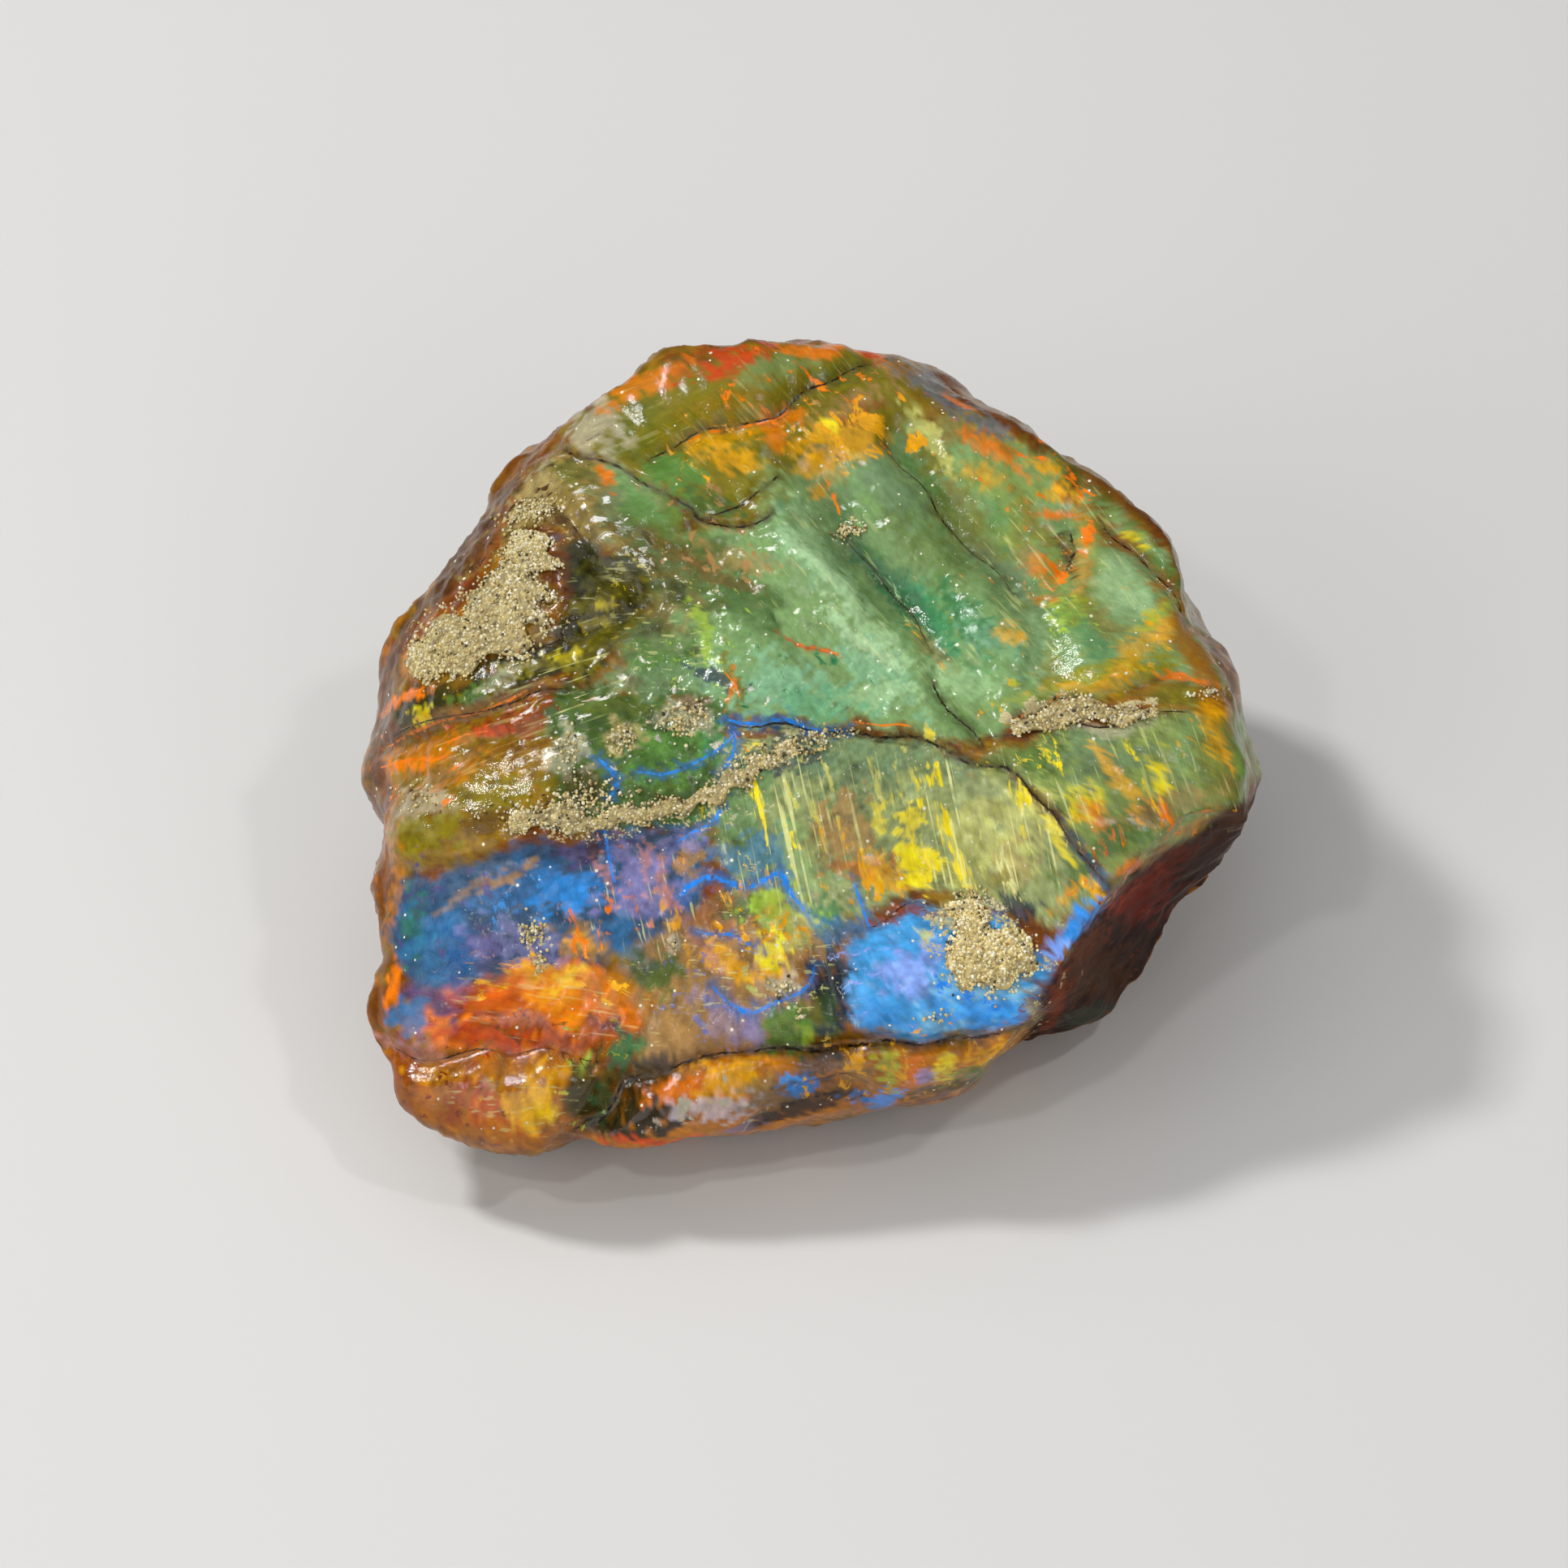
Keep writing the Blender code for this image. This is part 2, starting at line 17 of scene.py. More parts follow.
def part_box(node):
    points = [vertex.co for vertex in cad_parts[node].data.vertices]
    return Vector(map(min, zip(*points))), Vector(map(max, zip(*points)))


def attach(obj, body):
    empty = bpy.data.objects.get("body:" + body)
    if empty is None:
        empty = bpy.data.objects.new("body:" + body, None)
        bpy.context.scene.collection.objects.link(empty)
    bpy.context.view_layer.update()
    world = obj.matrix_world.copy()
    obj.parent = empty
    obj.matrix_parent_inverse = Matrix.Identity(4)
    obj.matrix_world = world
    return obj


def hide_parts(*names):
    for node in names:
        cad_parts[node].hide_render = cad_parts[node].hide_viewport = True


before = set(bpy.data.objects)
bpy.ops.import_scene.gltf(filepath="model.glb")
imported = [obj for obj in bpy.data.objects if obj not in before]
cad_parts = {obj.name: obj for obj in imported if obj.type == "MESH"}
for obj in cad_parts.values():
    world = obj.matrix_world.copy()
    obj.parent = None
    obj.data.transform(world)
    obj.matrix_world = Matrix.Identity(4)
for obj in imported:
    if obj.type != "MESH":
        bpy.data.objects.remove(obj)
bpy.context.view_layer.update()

# %% [markdown]
# ## Face units
#
# The face was measured on the plane that faces the viewer, who looks down on the front at 45 degrees.
# A place on it is two whole numbers, x to the right and y down, and one unit is about 0.055 mm. This
# cell turns such places into millimetres and back, so every crack and colour can be named by place.

# %% Millimetres, face units and the viewer's axes
MM = 0.001
LUMP_WIDTH = 60.0
OUTLINE_SPAN = 1096.0
UNIT = LUMP_WIDTH / OUTLINE_SPAN
FACE_CENTRE = (1006.0, 914.0)
VIEW_TILT = math.radians(45.0)
HEART_HEIGHT = 17.5


def face_point(x, y):
    """A place on the face, from face units to mm right of and above the face's centre."""
    return (x - FACE_CENTRE[0]) * UNIT, (FACE_CENTRE[1] - y) * UNIT


def viewer_axes():
    """Rows: right, up and towards the viewer, who looks down on the front by VIEW_TILT."""
    sin, cos = math.sin(VIEW_TILT), math.cos(VIEW_TILT)
    return np.array(((1.0, 0.0, 0.0), (0.0, sin, cos), (0.0, -cos, sin)))


AXES = viewer_axes()
print("one face unit is", round(UNIT, 4), "mm")

# %% [markdown]
# ## Curves, hills and soft steps
#
# Cracks and ledges are drawn as smooth curves through a few places. Natural unevenness is a sum of
# plane waves in random directions, which costs one matrix product for the whole surface and never
# repeats. Both could be done with modifiers and textures, but then the shape, the cracks and the
# colours could not share one set of places.

# %% Curves through places, and smooth random hills
def rounded(points, closed=False, cuts=5):
    """A smooth curve through points: each stretch is a cubic that goes on as the last one ended."""
    p = np.array(points, float)
    before, after = (p[-1:], p[:2]) if closed else (2 * p[:1] - p[1:2], 2 * p[-1:] - p[-2:-1])
    p = np.concatenate((before, p, after))
    t = np.linspace(0.0, 1.0, cuts, endpoint=False)[:, None, None]
    a, b, c, d = p[:-3], p[1:-2], p[2:-1], p[3:]
    curve = b + 0.5 * t * (c - a + t * (2 * a - 5 * b + 4 * c - d + t * (3 * (b - c) + d - a)))
    curve = curve.transpose(1, 0, 2).reshape(-1, 2)
    return curve if closed else np.concatenate((curve, p[-2:-1]))


def line(points):
    """A stroke on the face, as a smooth curve in mm."""
    return rounded([face_point(x, y) for x, y in points])


def turned(x, y, degrees):
    """Distances along and across a direction that is turned from the x axis by degrees."""
    c, s = math.cos(math.radians(degrees)), math.sin(math.radians(degrees))
    return x * c + y * s, y * c - x * s


def in_space(spots):
    """Flat spots as points in space, with no depth."""
    return np.concatenate((spots, np.zeros((len(spots), 1))), axis=1)


def ripple(p, wavelength, seed, count=20):
    """Smooth uneven hills of about +-1: the sum of plane waves in seeded random directions."""
    rng = np.random.default_rng(seed)
    way = rng.normal(size=(count, 3))
    way /= np.linalg.norm(way, axis=1)[:, None]
    way *= (2 * math.pi / wavelength) * rng.uniform(0.7, 1.4, count)[:, None]
    phase = rng.uniform(0, 2 * math.pi, count)
    return np.sin(p @ way.T + phase).sum(axis=1) / math.sqrt(count / 2)


def smooth_step(low, high, x):
    """0 below low, 1 above high, with a soft S between."""
    t = np.clip((x - low) / (high - low), 0.0, 1.0)
    return t * t * (3 - 2 * t)


def soft_least(a, b, blend):
    """The lesser of two distances, rounded over a width of blend where they cross."""
    h = np.clip(blend - np.abs(a - b), 0.0, None) / blend
    return np.minimum(a, b) - h * h * blend / 4


print("a rounded square has", len(rounded([(0, 0), (1, 0), (1, 1), (0, 1)], closed=True)), "points")

# %% [markdown]
# ## The body of the lump
#
# A broken lump is a meeting of flat facets with softened edges. Each facet pulls the skin in along
# its own direction, and a power mean of the pulls gives one distance for every direction. The body is
# then drawn out near its rim so that it fills the outline. A sculpted mesh could look the same, but
# its facets would not be named, and the solid model could not share them.

# %% Facets, outline and breaks
FACET_POWER = 11.0         # higher is sharper where facets meet
OUTLINE = (
    (1554, 934), (1545, 905), (1525, 841), (1496, 780), (1460, 698), (1429, 651), (1375, 605),
    (1311, 557), (1243, 516), (1186, 484), (1121, 442), (1061, 421), (1000, 416), (929, 418),
    (854, 434), (815, 439), (744, 487), (690, 526), (619, 584), (572, 659), (517, 744), (486, 776),
    (460, 841), (461, 898), (470, 1000), (472, 1121), (479, 1193), (472, 1250), (494, 1316),
    (520, 1364), (579, 1391), (633, 1408), (681, 1409), (700, 1400), (724, 1401), (786, 1409),
    (874, 1402), (981, 1380), (1088, 1356), (1168, 1339), (1240, 1303), (1279, 1280), (1350, 1255),
    (1382, 1216), (1414, 1184), (1457, 1109), (1507, 1055), (1550, 969),
)

# Facets: outward direction (x right, y back, z up) and distance from the heart in mm.
FACETS = (
    ((0.03, -0.30, 0.95), 10.8),     # jade top, leaning towards the viewer
    ((0.00, -0.55, 0.83), 10.1),     # lower half of the face
    ((0.02, -0.95, 0.30), 22.0),     # rim under the long seam
    ((0.00, -0.55, -0.83), 24.3),    # undercut below the rim
    ((-0.55, -0.20, 0.81), 18.0),    # left shoulder
    ((-0.35, -0.60, 0.72), 16.5),    # lower left cheek
    ((-0.98, -0.05, 0.17), 29.3),    # left side
    ((-0.66, 0.45, 0.60), 25.2),     # upper left slope
    ((0.45, -0.10, 0.89), 16.8),     # right shoulder
    ((0.82, 0.25, 0.50), 25.4),      # right slope
    ((0.48, 0.60, 0.64), 25.0),      # upper right slope
    ((0.97, 0.10, -0.20), 29.0),     # right side
    ((0.00, 0.80, 0.60), 27.4),      # slope behind the crown
    ((0.05, 1.00, -0.10), 29.5),     # back
    ((-0.65, 0.72, -0.10), 29.0),    # back left
    ((0.68, 0.72, -0.12), 29.5),     # back right
    ((0.00, 0.60, -0.80), 25.0),     # underside, back
    ((-0.70, -0.10, -0.70), 26.0),   # underside, left
    ((0.72, 0.15, -0.68), 24.5),     # underside, right
)
# The dark fresh break at the lower right: two flat faces with an inner corner between them.
# Directions here are in the viewer's axes: right, up, towards the viewer.
UPPER_BREAK = ((0.56, -0.80, 0.20), 21.0)
LOWER_BREAK = ((0.84, -0.46, 0.28), 24.2)

print(len(FACETS), "facets and", len(OUTLINE), "outline places")

# %% [markdown]
# ## From facets to one smooth skin
#
# The back and the underside also have shallow flat flakes in random directions, where chips were
# struck off. The directions are bent by slow hills first, so no facet meets its neighbour in a
# straight line.

# %% Power mean of the facets, and the outline
FLAKE_COUNT = 26
FLAKE_SEED = 31
FLAKE_CUT = (0.955, 0.99)           # a flake's distance, as a share of the skin's
FLAKE_POWER = 40.0
DRIFT_SIZE, DRIFT = 0.9, 0.022      # slow hills that bend the directions, for a ball of radius 1
BLEND = 0.5                         # mm over which a flake or a break meets the skin


def facet_reach(ways, facets, power):
    """Distance to the skin of a soft meeting of flat facets: one over the power mean of their pulls."""
    normals = np.array([n for n, _ in facets])
    normals /= np.linalg.norm(normals, axis=1)[:, None]
    pulls = np.clip(ways @ (normals / np.array([[d] for _, d in facets])).T, 1e-6, None)
    most = pulls.max(axis=1)
    return 1 / (most * ((pulls / most[:, None]) ** power).sum(axis=1) ** (1 / power))


def flakes():
    """Shallow flat flakes in seeded random directions, struck off the back and the underside."""
    rng = np.random.default_rng(FLAKE_SEED)
    normals = rng.normal(size=(FLAKE_COUNT, 3))
    normals[:, 1] = np.abs(normals[:, 1]) * 0.9 + 0.1
    normals /= np.linalg.norm(normals, axis=1)[:, None]
    depths = facet_reach(normals, FACETS, FACET_POWER) * rng.uniform(*FLAKE_CUT, len(normals))
    return [(tuple(n), d) for n, d in zip(normals, depths) if n[2] < 0.62]


FLAKES = flakes()


def body_reach(ways):
    """Distance from the heart to the skin before the outline and the relief are brought in."""
    drift = np.stack([ripple(ways, DRIFT_SIZE, seed) for seed in (3, 4, 5)], axis=1)
    bent = ways + DRIFT * drift
    bent /= np.linalg.norm(bent, axis=1)[:, None]
    flaked = facet_reach(ways, FLAKES, FLAKE_POWER)
    reach = soft_least(facet_reach(bent, FACETS, FACET_POWER), flaked, BLEND)
    seen = bent @ AXES.T
    upper, lower = (facet_reach(seen, (facet,), 1.0) for facet in (UPPER_BREAK, LOWER_BREAK))
    return soft_least(reach, -soft_least(-upper, -lower, 2 * BLEND), BLEND)


def outline_table(turns=360, tilts=121):
    """Turns about the line of sight, the body's own rim there and the rim that the outline wants."""
    turn = np.linspace(-math.pi, math.pi, turns, endpoint=False)
    tilt = np.linspace(-1.2, 1.2, tilts)
    a, b = np.meshgrid(turn, tilt, indexing="ij")
    seen = np.stack((np.cos(b) * np.cos(a), np.cos(b) * np.sin(a), np.sin(b)), axis=-1)
    reach = body_reach(seen.reshape(-1, 3) @ AXES).reshape(a.shape)
    rim = rounded([face_point(x, y) for x, y in OUTLINE], closed=True, cuts=12)
    angle = np.arctan2(rim[:, 1], rim[:, 0])
    order = np.argsort(angle)
    wanted = np.interp(turn, angle[order], np.hypot(*rim.T)[order], period=2 * math.pi)
    return turn, (reach * np.cos(b)).max(axis=1), wanted


RIM_TABLE = outline_table()


def rim_at(seen, column):
    """A column of the rim table, read at the turn of each direction in the viewer's axes."""
    turn = np.arctan2(seen[:, 1], seen[:, 0])
    return np.interp(turn, RIM_TABLE[0], RIM_TABLE[column], period=2 * math.pi)


def smooth_reach(ways):
    """Distance to the smooth skin: the body, drawn out to the outline towards its rim only."""
    seen = ways @ AXES.T
    reach = body_reach(ways)
    own = rim_at(seen, 1)
    near_rim = np.clip(reach * np.hypot(seen[:, 0], seen[:, 1]) / own, 0.0, 1.0) ** 5
    return reach * (1 + (rim_at(seen, 2) / own - 1) * near_rim)


def outward(points):
    """Unit normals of the smooth skin, from how fast points beside it leave it."""
    step = 0.05
    gaps = []
    for axis in range(3):
        moved = points + step * np.eye(3)[axis]
        far = np.linalg.norm(moved, axis=1)
        gaps.append(far - smooth_reach(moved / far[:, None]))
    normals = np.stack(gaps, axis=1)
    return normals / np.linalg.norm(normals, axis=1)[:, None]


scales = RIM_TABLE[2] / RIM_TABLE[1]
print("the outline scales the facets by", np.round(scales[[0, 90, 180, 270]], 2))

# %% [markdown]
# ## Ledges, flutes and cracks
#
# The face carries a broken ledge across its middle, long flutes above it, a seam along its foot and a
# clear lobe at the lower left. Each is a stroke through named places, with a height or depth around
# it: a ledge stands up on one side, a furrow sinks on both.

# %% Ledges, furrows and swellings
def nearest(spots, curve):
    """Distance from spots to a curve, which side they lie on (+1 left of it) and how far along."""
    best = np.full(len(spots), np.inf)
    side = np.ones(len(spots))
    along = np.zeros(len(spots))
    for i in range(len(curve) - 1):
        run = curve[i + 1] - curve[i]
        rel = spots - curve[i]
        t = np.clip(rel @ run / (run @ run), 0.0, 1.0)
        off = rel - t[:, None] * run
        gap = np.hypot(off[:, 0], off[:, 1])
        closer = gap < best
        best[closer] = gap[closer]
        side[closer] = np.sign(run[0] * rel[closer, 1] - run[1] * rel[closer, 0])
        along[closer] = (i + t[closer]) / (len(curve) - 1)
    return best, side, along


def groove(spots, points, width, depth):
    """A rounded furrow along a stroke, deepest on its line."""
    gap, _, along = nearest(spots, line(points))
    return -depth * np.exp(-(gap / width) ** 2) * (0.5 + 0.5 * np.sin(math.pi * along))


def ledge(spots, points, lip, fall):
    """A broken edge: the skin left of the stroke stands up by lip, and sinks back over fall mm."""
    gap, side, along = nearest(spots, line(points))
    s = gap * side
    rise = smooth_step(-0.35, 0.35, s) * np.exp(-np.clip(s, 0.0, None) / fall)
    return lip * rise * smooth_step(0.0, 0.18, along) * smooth_step(1.0, 0.82, along)


def bump(spots, centre, radii, turn, height):
    """A rounded swelling, or a hollow if height is negative."""
    rel = spots - np.array(face_point(*centre))
    along, across = turned(rel[:, 0], rel[:, 1], turn)
    x, y = along / radii[0], across / radii[1]
    return height * np.exp(-(x * x + y * y))


probe = np.array([face_point(1006, 914)])
print("a hollow of 1 mm at the face's centre gives", bump(probe, (1006, 914), (1, 1), 0, -1.0)[0])

# %% [markdown]
# ## The strokes of the face
#
# These are the broken edges, flutes and cracks that can be followed by eye, named by what they are and
# where they lie. Real edges are never smooth curves, so every stroke strays a little from its course.

# %% Named strokes, swellings and hills
# Ledges stand up on the left of their course.
MID_LEDGE = (
    (850, 872), (900, 884), (979, 894), (1043, 901), (1114, 912), (1164, 923), (1204, 940),
    (1250, 948), (1279, 994), (1307, 1026), (1357, 1084),
)
RIGHT_LEDGE = (
    (1225, 900), (1250, 889), (1293, 863), (1340, 848), (1400, 842), (1440, 832), (1500, 850),
    (1538, 862),
)
LONG_SEAM = (
    (806, 1318), (860, 1300), (927, 1286), (967, 1281), (1024, 1288), (1101, 1277), (1168, 1273),
    (1222, 1268), (1270, 1257),
)
CROWN_GROOVE = ((790, 570), (833, 551), (904, 519), (964, 501), (1007, 473), (1079, 446))
CROWN_CRACK = ((675, 548), (733, 573), (794, 598), (861, 641), (910, 648), (950, 636), (966, 600))
FLUTE_A = ((989, 575), (1018, 623), (1068, 701), (1129, 766), (1160, 810))
FLUTE_B = ((1114, 545), (1150, 609), (1214, 694), (1257, 737), (1290, 785), (1289, 845))
FLUTE_C = ((900, 690), (950, 740), (1000, 790), (1050, 840), (1075, 880))
RIGHT_FLUTE = ((1361, 635), (1425, 702), (1457, 748), (1480, 800))
NOTCH_CRACK = ((1150, 840), (1186, 894), (1211, 925))
BACK_CRACK = ((1318, 640), (1312, 690), (1290, 740))
RIB_A = ((960, 640), (1000, 700), (1060, 765), (1129, 812), (1150, 835))
RIB_B = ((1060, 560), (1110, 630), (1165, 700), (1215, 760), (1245, 800))
SHOULDER_RIDGE = ((680, 582), (733, 640), (779, 694), (812, 722))
SHOULDER_LEDGE = ((744, 680), (719, 662), (690, 637), (660, 612))
EYE_HOLLOW = ((711, 668), (766, 700), (783, 735), (761, 760), (704, 791), (640, 822))
LEFT_SEAM = ((462, 930), (547, 894), (601, 869), (690, 846), (760, 838))
LEFT_SEAM_LOW = ((466, 975), (540, 948), (610, 915), (700, 905))
CHEEK_LEDGE = ((470, 1048), (520, 1062), (600, 1050), (700, 1038), (800, 1030), (880, 1010))
ARCH_LEDGE = ((1281, 1190), (1262, 1160), (1215, 1128), (1160, 1116), (1100, 1122), (1048, 1142))
FLAME_FOLD = ((560, 1225), (620, 1200), (690, 1196), (745, 1225), (775, 1250))
FLAME_FOLD_LOW = ((520, 1262), (590, 1262), (660, 1252), (720, 1268))
LOBE_SEAM = ((482, 1290), (528, 1303), (574, 1300), (606, 1288), (650, 1294), (710, 1296), (760, 1300))
LOBE_NOTCH = ((700, 1406), (729, 1377), (761, 1348), (778, 1328), (800, 1314))
FOOT_NOTCH = ((935, 1378), (981, 1350), (1034, 1342), (1060, 1350))
STRAW_FACET = ((905, 930), (930, 1010), (965, 1080), (990, 1135), (1020, 1200), (1050, 1280))
# Ledges: stroke, height of the lip and how far behind it the skin has sunk back, in mm.
LEDGES = (
    (MID_LEDGE, 0.8, 6.0), (RIGHT_LEDGE, 0.8, 5.0), (SHOULDER_LEDGE, 0.7, 2.5), (CHEEK_LEDGE, 0.7, 5.0),
    (ARCH_LEDGE, 0.6, 4.0), (FLAME_FOLD, 0.7, 2.5), (FLAME_FOLD_LOW, 0.5, 2.0), (CROWN_CRACK, 0.7, 4.0),
    (LEFT_SEAM, 0.6, 3.0),
)
# Furrows: stroke, width and depth in mm. A depth below nothing stands up as a rib.
GROOVES = (
    (LONG_SEAM, 0.7, 1.1), (CROWN_GROOVE, 0.9, 0.9), (FLUTE_A, 1.7, 1.5), (FLUTE_B, 1.6, 1.3),
    (FLUTE_C, 1.5, 0.6), (RIGHT_FLUTE, 0.8, 0.8), (NOTCH_CRACK, 0.6, 0.9), (BACK_CRACK, 0.8, 0.7),
    (LEFT_SEAM, 0.7, 0.8), (LEFT_SEAM_LOW, 0.9, 0.7), (EYE_HOLLOW, 1.5, 1.5), (LOBE_SEAM, 0.8, 1.0),
    (LOBE_NOTCH, 1.1, 2.2), (FOOT_NOTCH, 0.9, 1.2), (STRAW_FACET, 0.8, 0.4), (RIB_A, 1.4, -0.7),
    (RIB_B, 1.8, -0.8), (SHOULDER_RIDGE, 1.0, -1.2),
)
# Swellings: centre, half lengths in mm, turn in degrees and height in mm.
BUMPS = (
    ((620, 1350), (7.0, 4.0), -5, 1.6),      # the clear honey lobe
    ((1120, 1065), (5.0, 3.5), 20, -0.5),    # hollow of the gold flash
    ((1020, 1225), (1.8, 3.2), 10, -0.9),    # dark pit beside the blue field
    ((1165, 1205), (5.5, 3.2), 10, 0.6),     # the blue field
    ((640, 1110), (6.0, 3.5), 15, 0.5),      # blue cheek
    ((590, 1010), (6.0, 2.5), 15, 0.6),      # ochre swell under the left seams
    ((1480, 870), (1.6, 1.6), 0, 0.5),       # olive bead
    ((1345, 1235), (3.6, 2.2), 25, 0.9),     # knob under the break
)
# Uneven hills all over: distance between tops and height in mm, and the seed.
HILLS = ((12.0, 0.15, 10), (6.0, 0.07, 11), (2.8, 0.04, 12))
BACK_HILLS = (9.0, 0.35, 13)
WANDER = (5.0, 0.22, (7, 8))                 # how the strokes stray from their course


def strayed(spots, wander):
    """Spots moved a little by smooth hills, so that strokes drawn at them stray from their course."""
    wavelength, stray, seeds = wander
    flat = in_space(spots)
    return spots + np.stack([stray * ripple(flat, wavelength, seed) for seed in seeds], axis=1)


def face_relief(spots):
    """Height in mm added to the skin by the ledges, flutes and swellings of the face."""
    spots = strayed(spots, WANDER)
    height = sum(ledge(spots, stroke, lip, fall) for stroke, lip, fall in LEDGES)
    height += sum(groove(spots, stroke, width, depth) for stroke, width, depth in GROOVES)
    return height + sum(bump(spots, *swelling) for swelling in BUMPS)


print(len(LEDGES), "ledges,", len(GROOVES), "furrows and", len(BUMPS), "swellings")

# %% [markdown]
# ## Fine relief that only the finished surface has
#
# From a step away the lump is ledges and flutes. Close up it has hairline cracks, fine striae that run
# along the flutes, small wet beads on the left shoulder and a hammered skin. The solid leaves these
# out. They are added to the same height, at the scale of the finer grid.

# %% Hairlines, striae and beads
HAIRLINES = (
    ((900, 886), (979, 896), (1043, 903), (1114, 914), (1164, 925), (1204, 942), (1250, 950),
    (1279, 996)), ((820, 1311), (860, 1301), (927, 1287), (967, 1282), (1024, 1289), (1061, 1282),
    (1168, 1274)), ((683, 551), (733, 573), (794, 598), (844, 623), (861, 641)),
    ((861, 641), (874, 632), (915, 619), (940, 609), (961, 591)), ((1075, 1131), (1100, 1124),
    (1135, 1117), (1170, 1117), (1200, 1128)), ((801, 566), (833, 551), (869, 534), (904, 519),
    (940, 507), (964, 501), (1007, 473), (1050, 451)),
    ((1150, 828), (1164, 862), (1186, 894), (1211, 919)), ((1411, 700), (1425, 712), (1440, 730),
    (1457, 748), (1466, 775)),
)
HAIRLINE_WIDTH = 0.28
HAIRLINE_DEPTH = 0.28
BEAD_FORM = ((0.45, 0.32), 20, 0.22)        # half lengths in mm, turn in degrees, height in mm
FINE_WANDER = (1.6, 0.07, (17, 18))
# Fine hills: distance between tops and height in mm, and the seed.
FLUTE_STRIAE = (0.9, 0.018, 41)
SHOULDER_HILLS = (0.95, 0.026, 52)
HAMMERED = ((1.5, 0.030, 42), (0.8, 0.016, 43))
CHIP_DEPTH, FOLD_DEPTH, PIT_DEPTH, RIND_GRAIN = 0.45, 0.36, 0.22, 0.10        # mm
FLUTE_RUN = -52.0                   # degrees: the flutes run right and down on the face
BEADS = (
    (690, 590), (704, 606), (716, 622), (731, 640), (744, 652), (758, 666), (772, 684), (788, 700),
    (806, 714), (600, 1306), (622, 1310), (645, 1304), (575, 1312), (880, 862), (862, 850), (905, 872),
)


def striae(spots, run, wavelength, seed, stretch=9.0):
    """Fine parallel hills: smooth hills drawn out along a run on the face."""
    along, across = turned(spots[:, 0], spots[:, 1], run)
    return ripple(in_space(np.stack((along / stretch, across), axis=1)), wavelength, seed)


def fine_relief(spots, skin):
    """Height in mm of hairlines, striae, beads and hammered skin."""
    spots = strayed(spots, FINE_WANDER)
    height = sum(groove(spots, stroke, HAIRLINE_WIDTH, HAIRLINE_DEPTH) for stroke in HAIRLINES)
    height += sum(bump(spots, bead, *BEAD_FORM) for bead in BEADS)
    size, high, seed = FLUTE_STRIAE
    height += high * striae(spots, FLUTE_RUN, size, seed)
    size, high, seed = SHOULDER_HILLS
    height += high * smooth_step(-3, -10, spots[:, 0]) * ripple(skin, size, seed)
    for size, high, seed in HAMMERED:
        height += high * ripple(skin, size, seed)
    return height


def rind_relief(skin):
    """Height in mm of the old rind at the back: chips, wrinkles where a noise is near 0, and pits."""
    folds = ripple(skin, 7.0, 46) + 0.4 * ripple(skin, 2.6, 47)
    height = -CHIP_DEPTH * smooth_step(0.5, 0.9, ripple(skin, 9.0, 49))
    height -= FOLD_DEPTH * np.exp(-(folds / 0.30) ** 2)
    height = height - PIT_DEPTH * smooth_step(0.6, 1.3, ripple(skin, 2.2, 48))
    return height + RIND_GRAIN * ripple(skin, 1.3, 51)


def lump_skin(ways):
    """Points in mm from the heart, one along each unit direction: smooth skin, then its relief."""
    skin = ways * smooth_reach(ways)[:, None]
    normals = outward(skin)
    seen = skin @ AXES.T
    front = smooth_step(0.02, 0.32, normals @ AXES[2])
    height = front * (face_relief(seen[:, :2]) + fine_relief(seen[:, :2], skin))
    height += sum(high * ripple(skin, wavelength, seed) for wavelength, high, seed in HILLS)
    wavelength, high, seed = BACK_HILLS
    height += (1 - front) * (high * ripple(skin, wavelength, seed) + 0.05 * ripple(skin, 1.6, 44))
    height += smooth_step(-0.02, -0.30, normals @ AXES[2]) * rind_relief(skin)
    return skin + normals * height[:, None]


print(len(HAIRLINES), "hairlines and", len(BEADS), "beads")

# %% [markdown]
# ## The lump as one closed skin
#
# A cube grid blown up to a ball has no poles and nearly square cells. Its directions are gathered
# towards the viewer, because the face is what the photograph shows and what the light plays on. Below
# the resting plane every point is brought up along its own ray, which leaves a flat sole.

# %% Ball grid, skin and sole
GRID_STEPS = 129
BALL_REACH = (30.0, 27.0, 20.0)
GATHER = 0.42


def ball_grid(steps):
    """Unit directions and quads of a cube blown up to a ball, the quads turned outwards."""
    side = np.arange(steps + 1)
    i, j = np.meshgrid(side, side, indexing="ij")
    corners, quads = [], []
    cell = np.arange((steps + 1) ** 2).reshape(steps + 1, steps + 1)
    for axis in range(3):
        for high in (0, 1):
            spot = np.zeros((steps + 1, steps + 1, 3), int)
            spot[..., axis] = steps * high
            spot[..., (axis + 1) % 3] = i
            spot[..., (axis + 2) % 3] = j
            ring = (cell[:-1, :-1], cell[1:, :-1], cell[1:, 1:], cell[:-1, 1:])
            faces = np.stack(ring if high else ring[::-1], axis=-1).reshape(-1, 4)
            quads.append(faces + sum(len(c) for c in corners))
            corners.append(spot.reshape(-1, 3))
    spots, index = np.unique(np.concatenate(corners), axis=0, return_inverse=True)
    quads = index.reshape(-1)[np.concatenate(quads)]
    cube = np.tan((spots / steps - 0.5) * math.pi / 2)
    return cube / np.linalg.norm(cube, axis=1)[:, None], quads


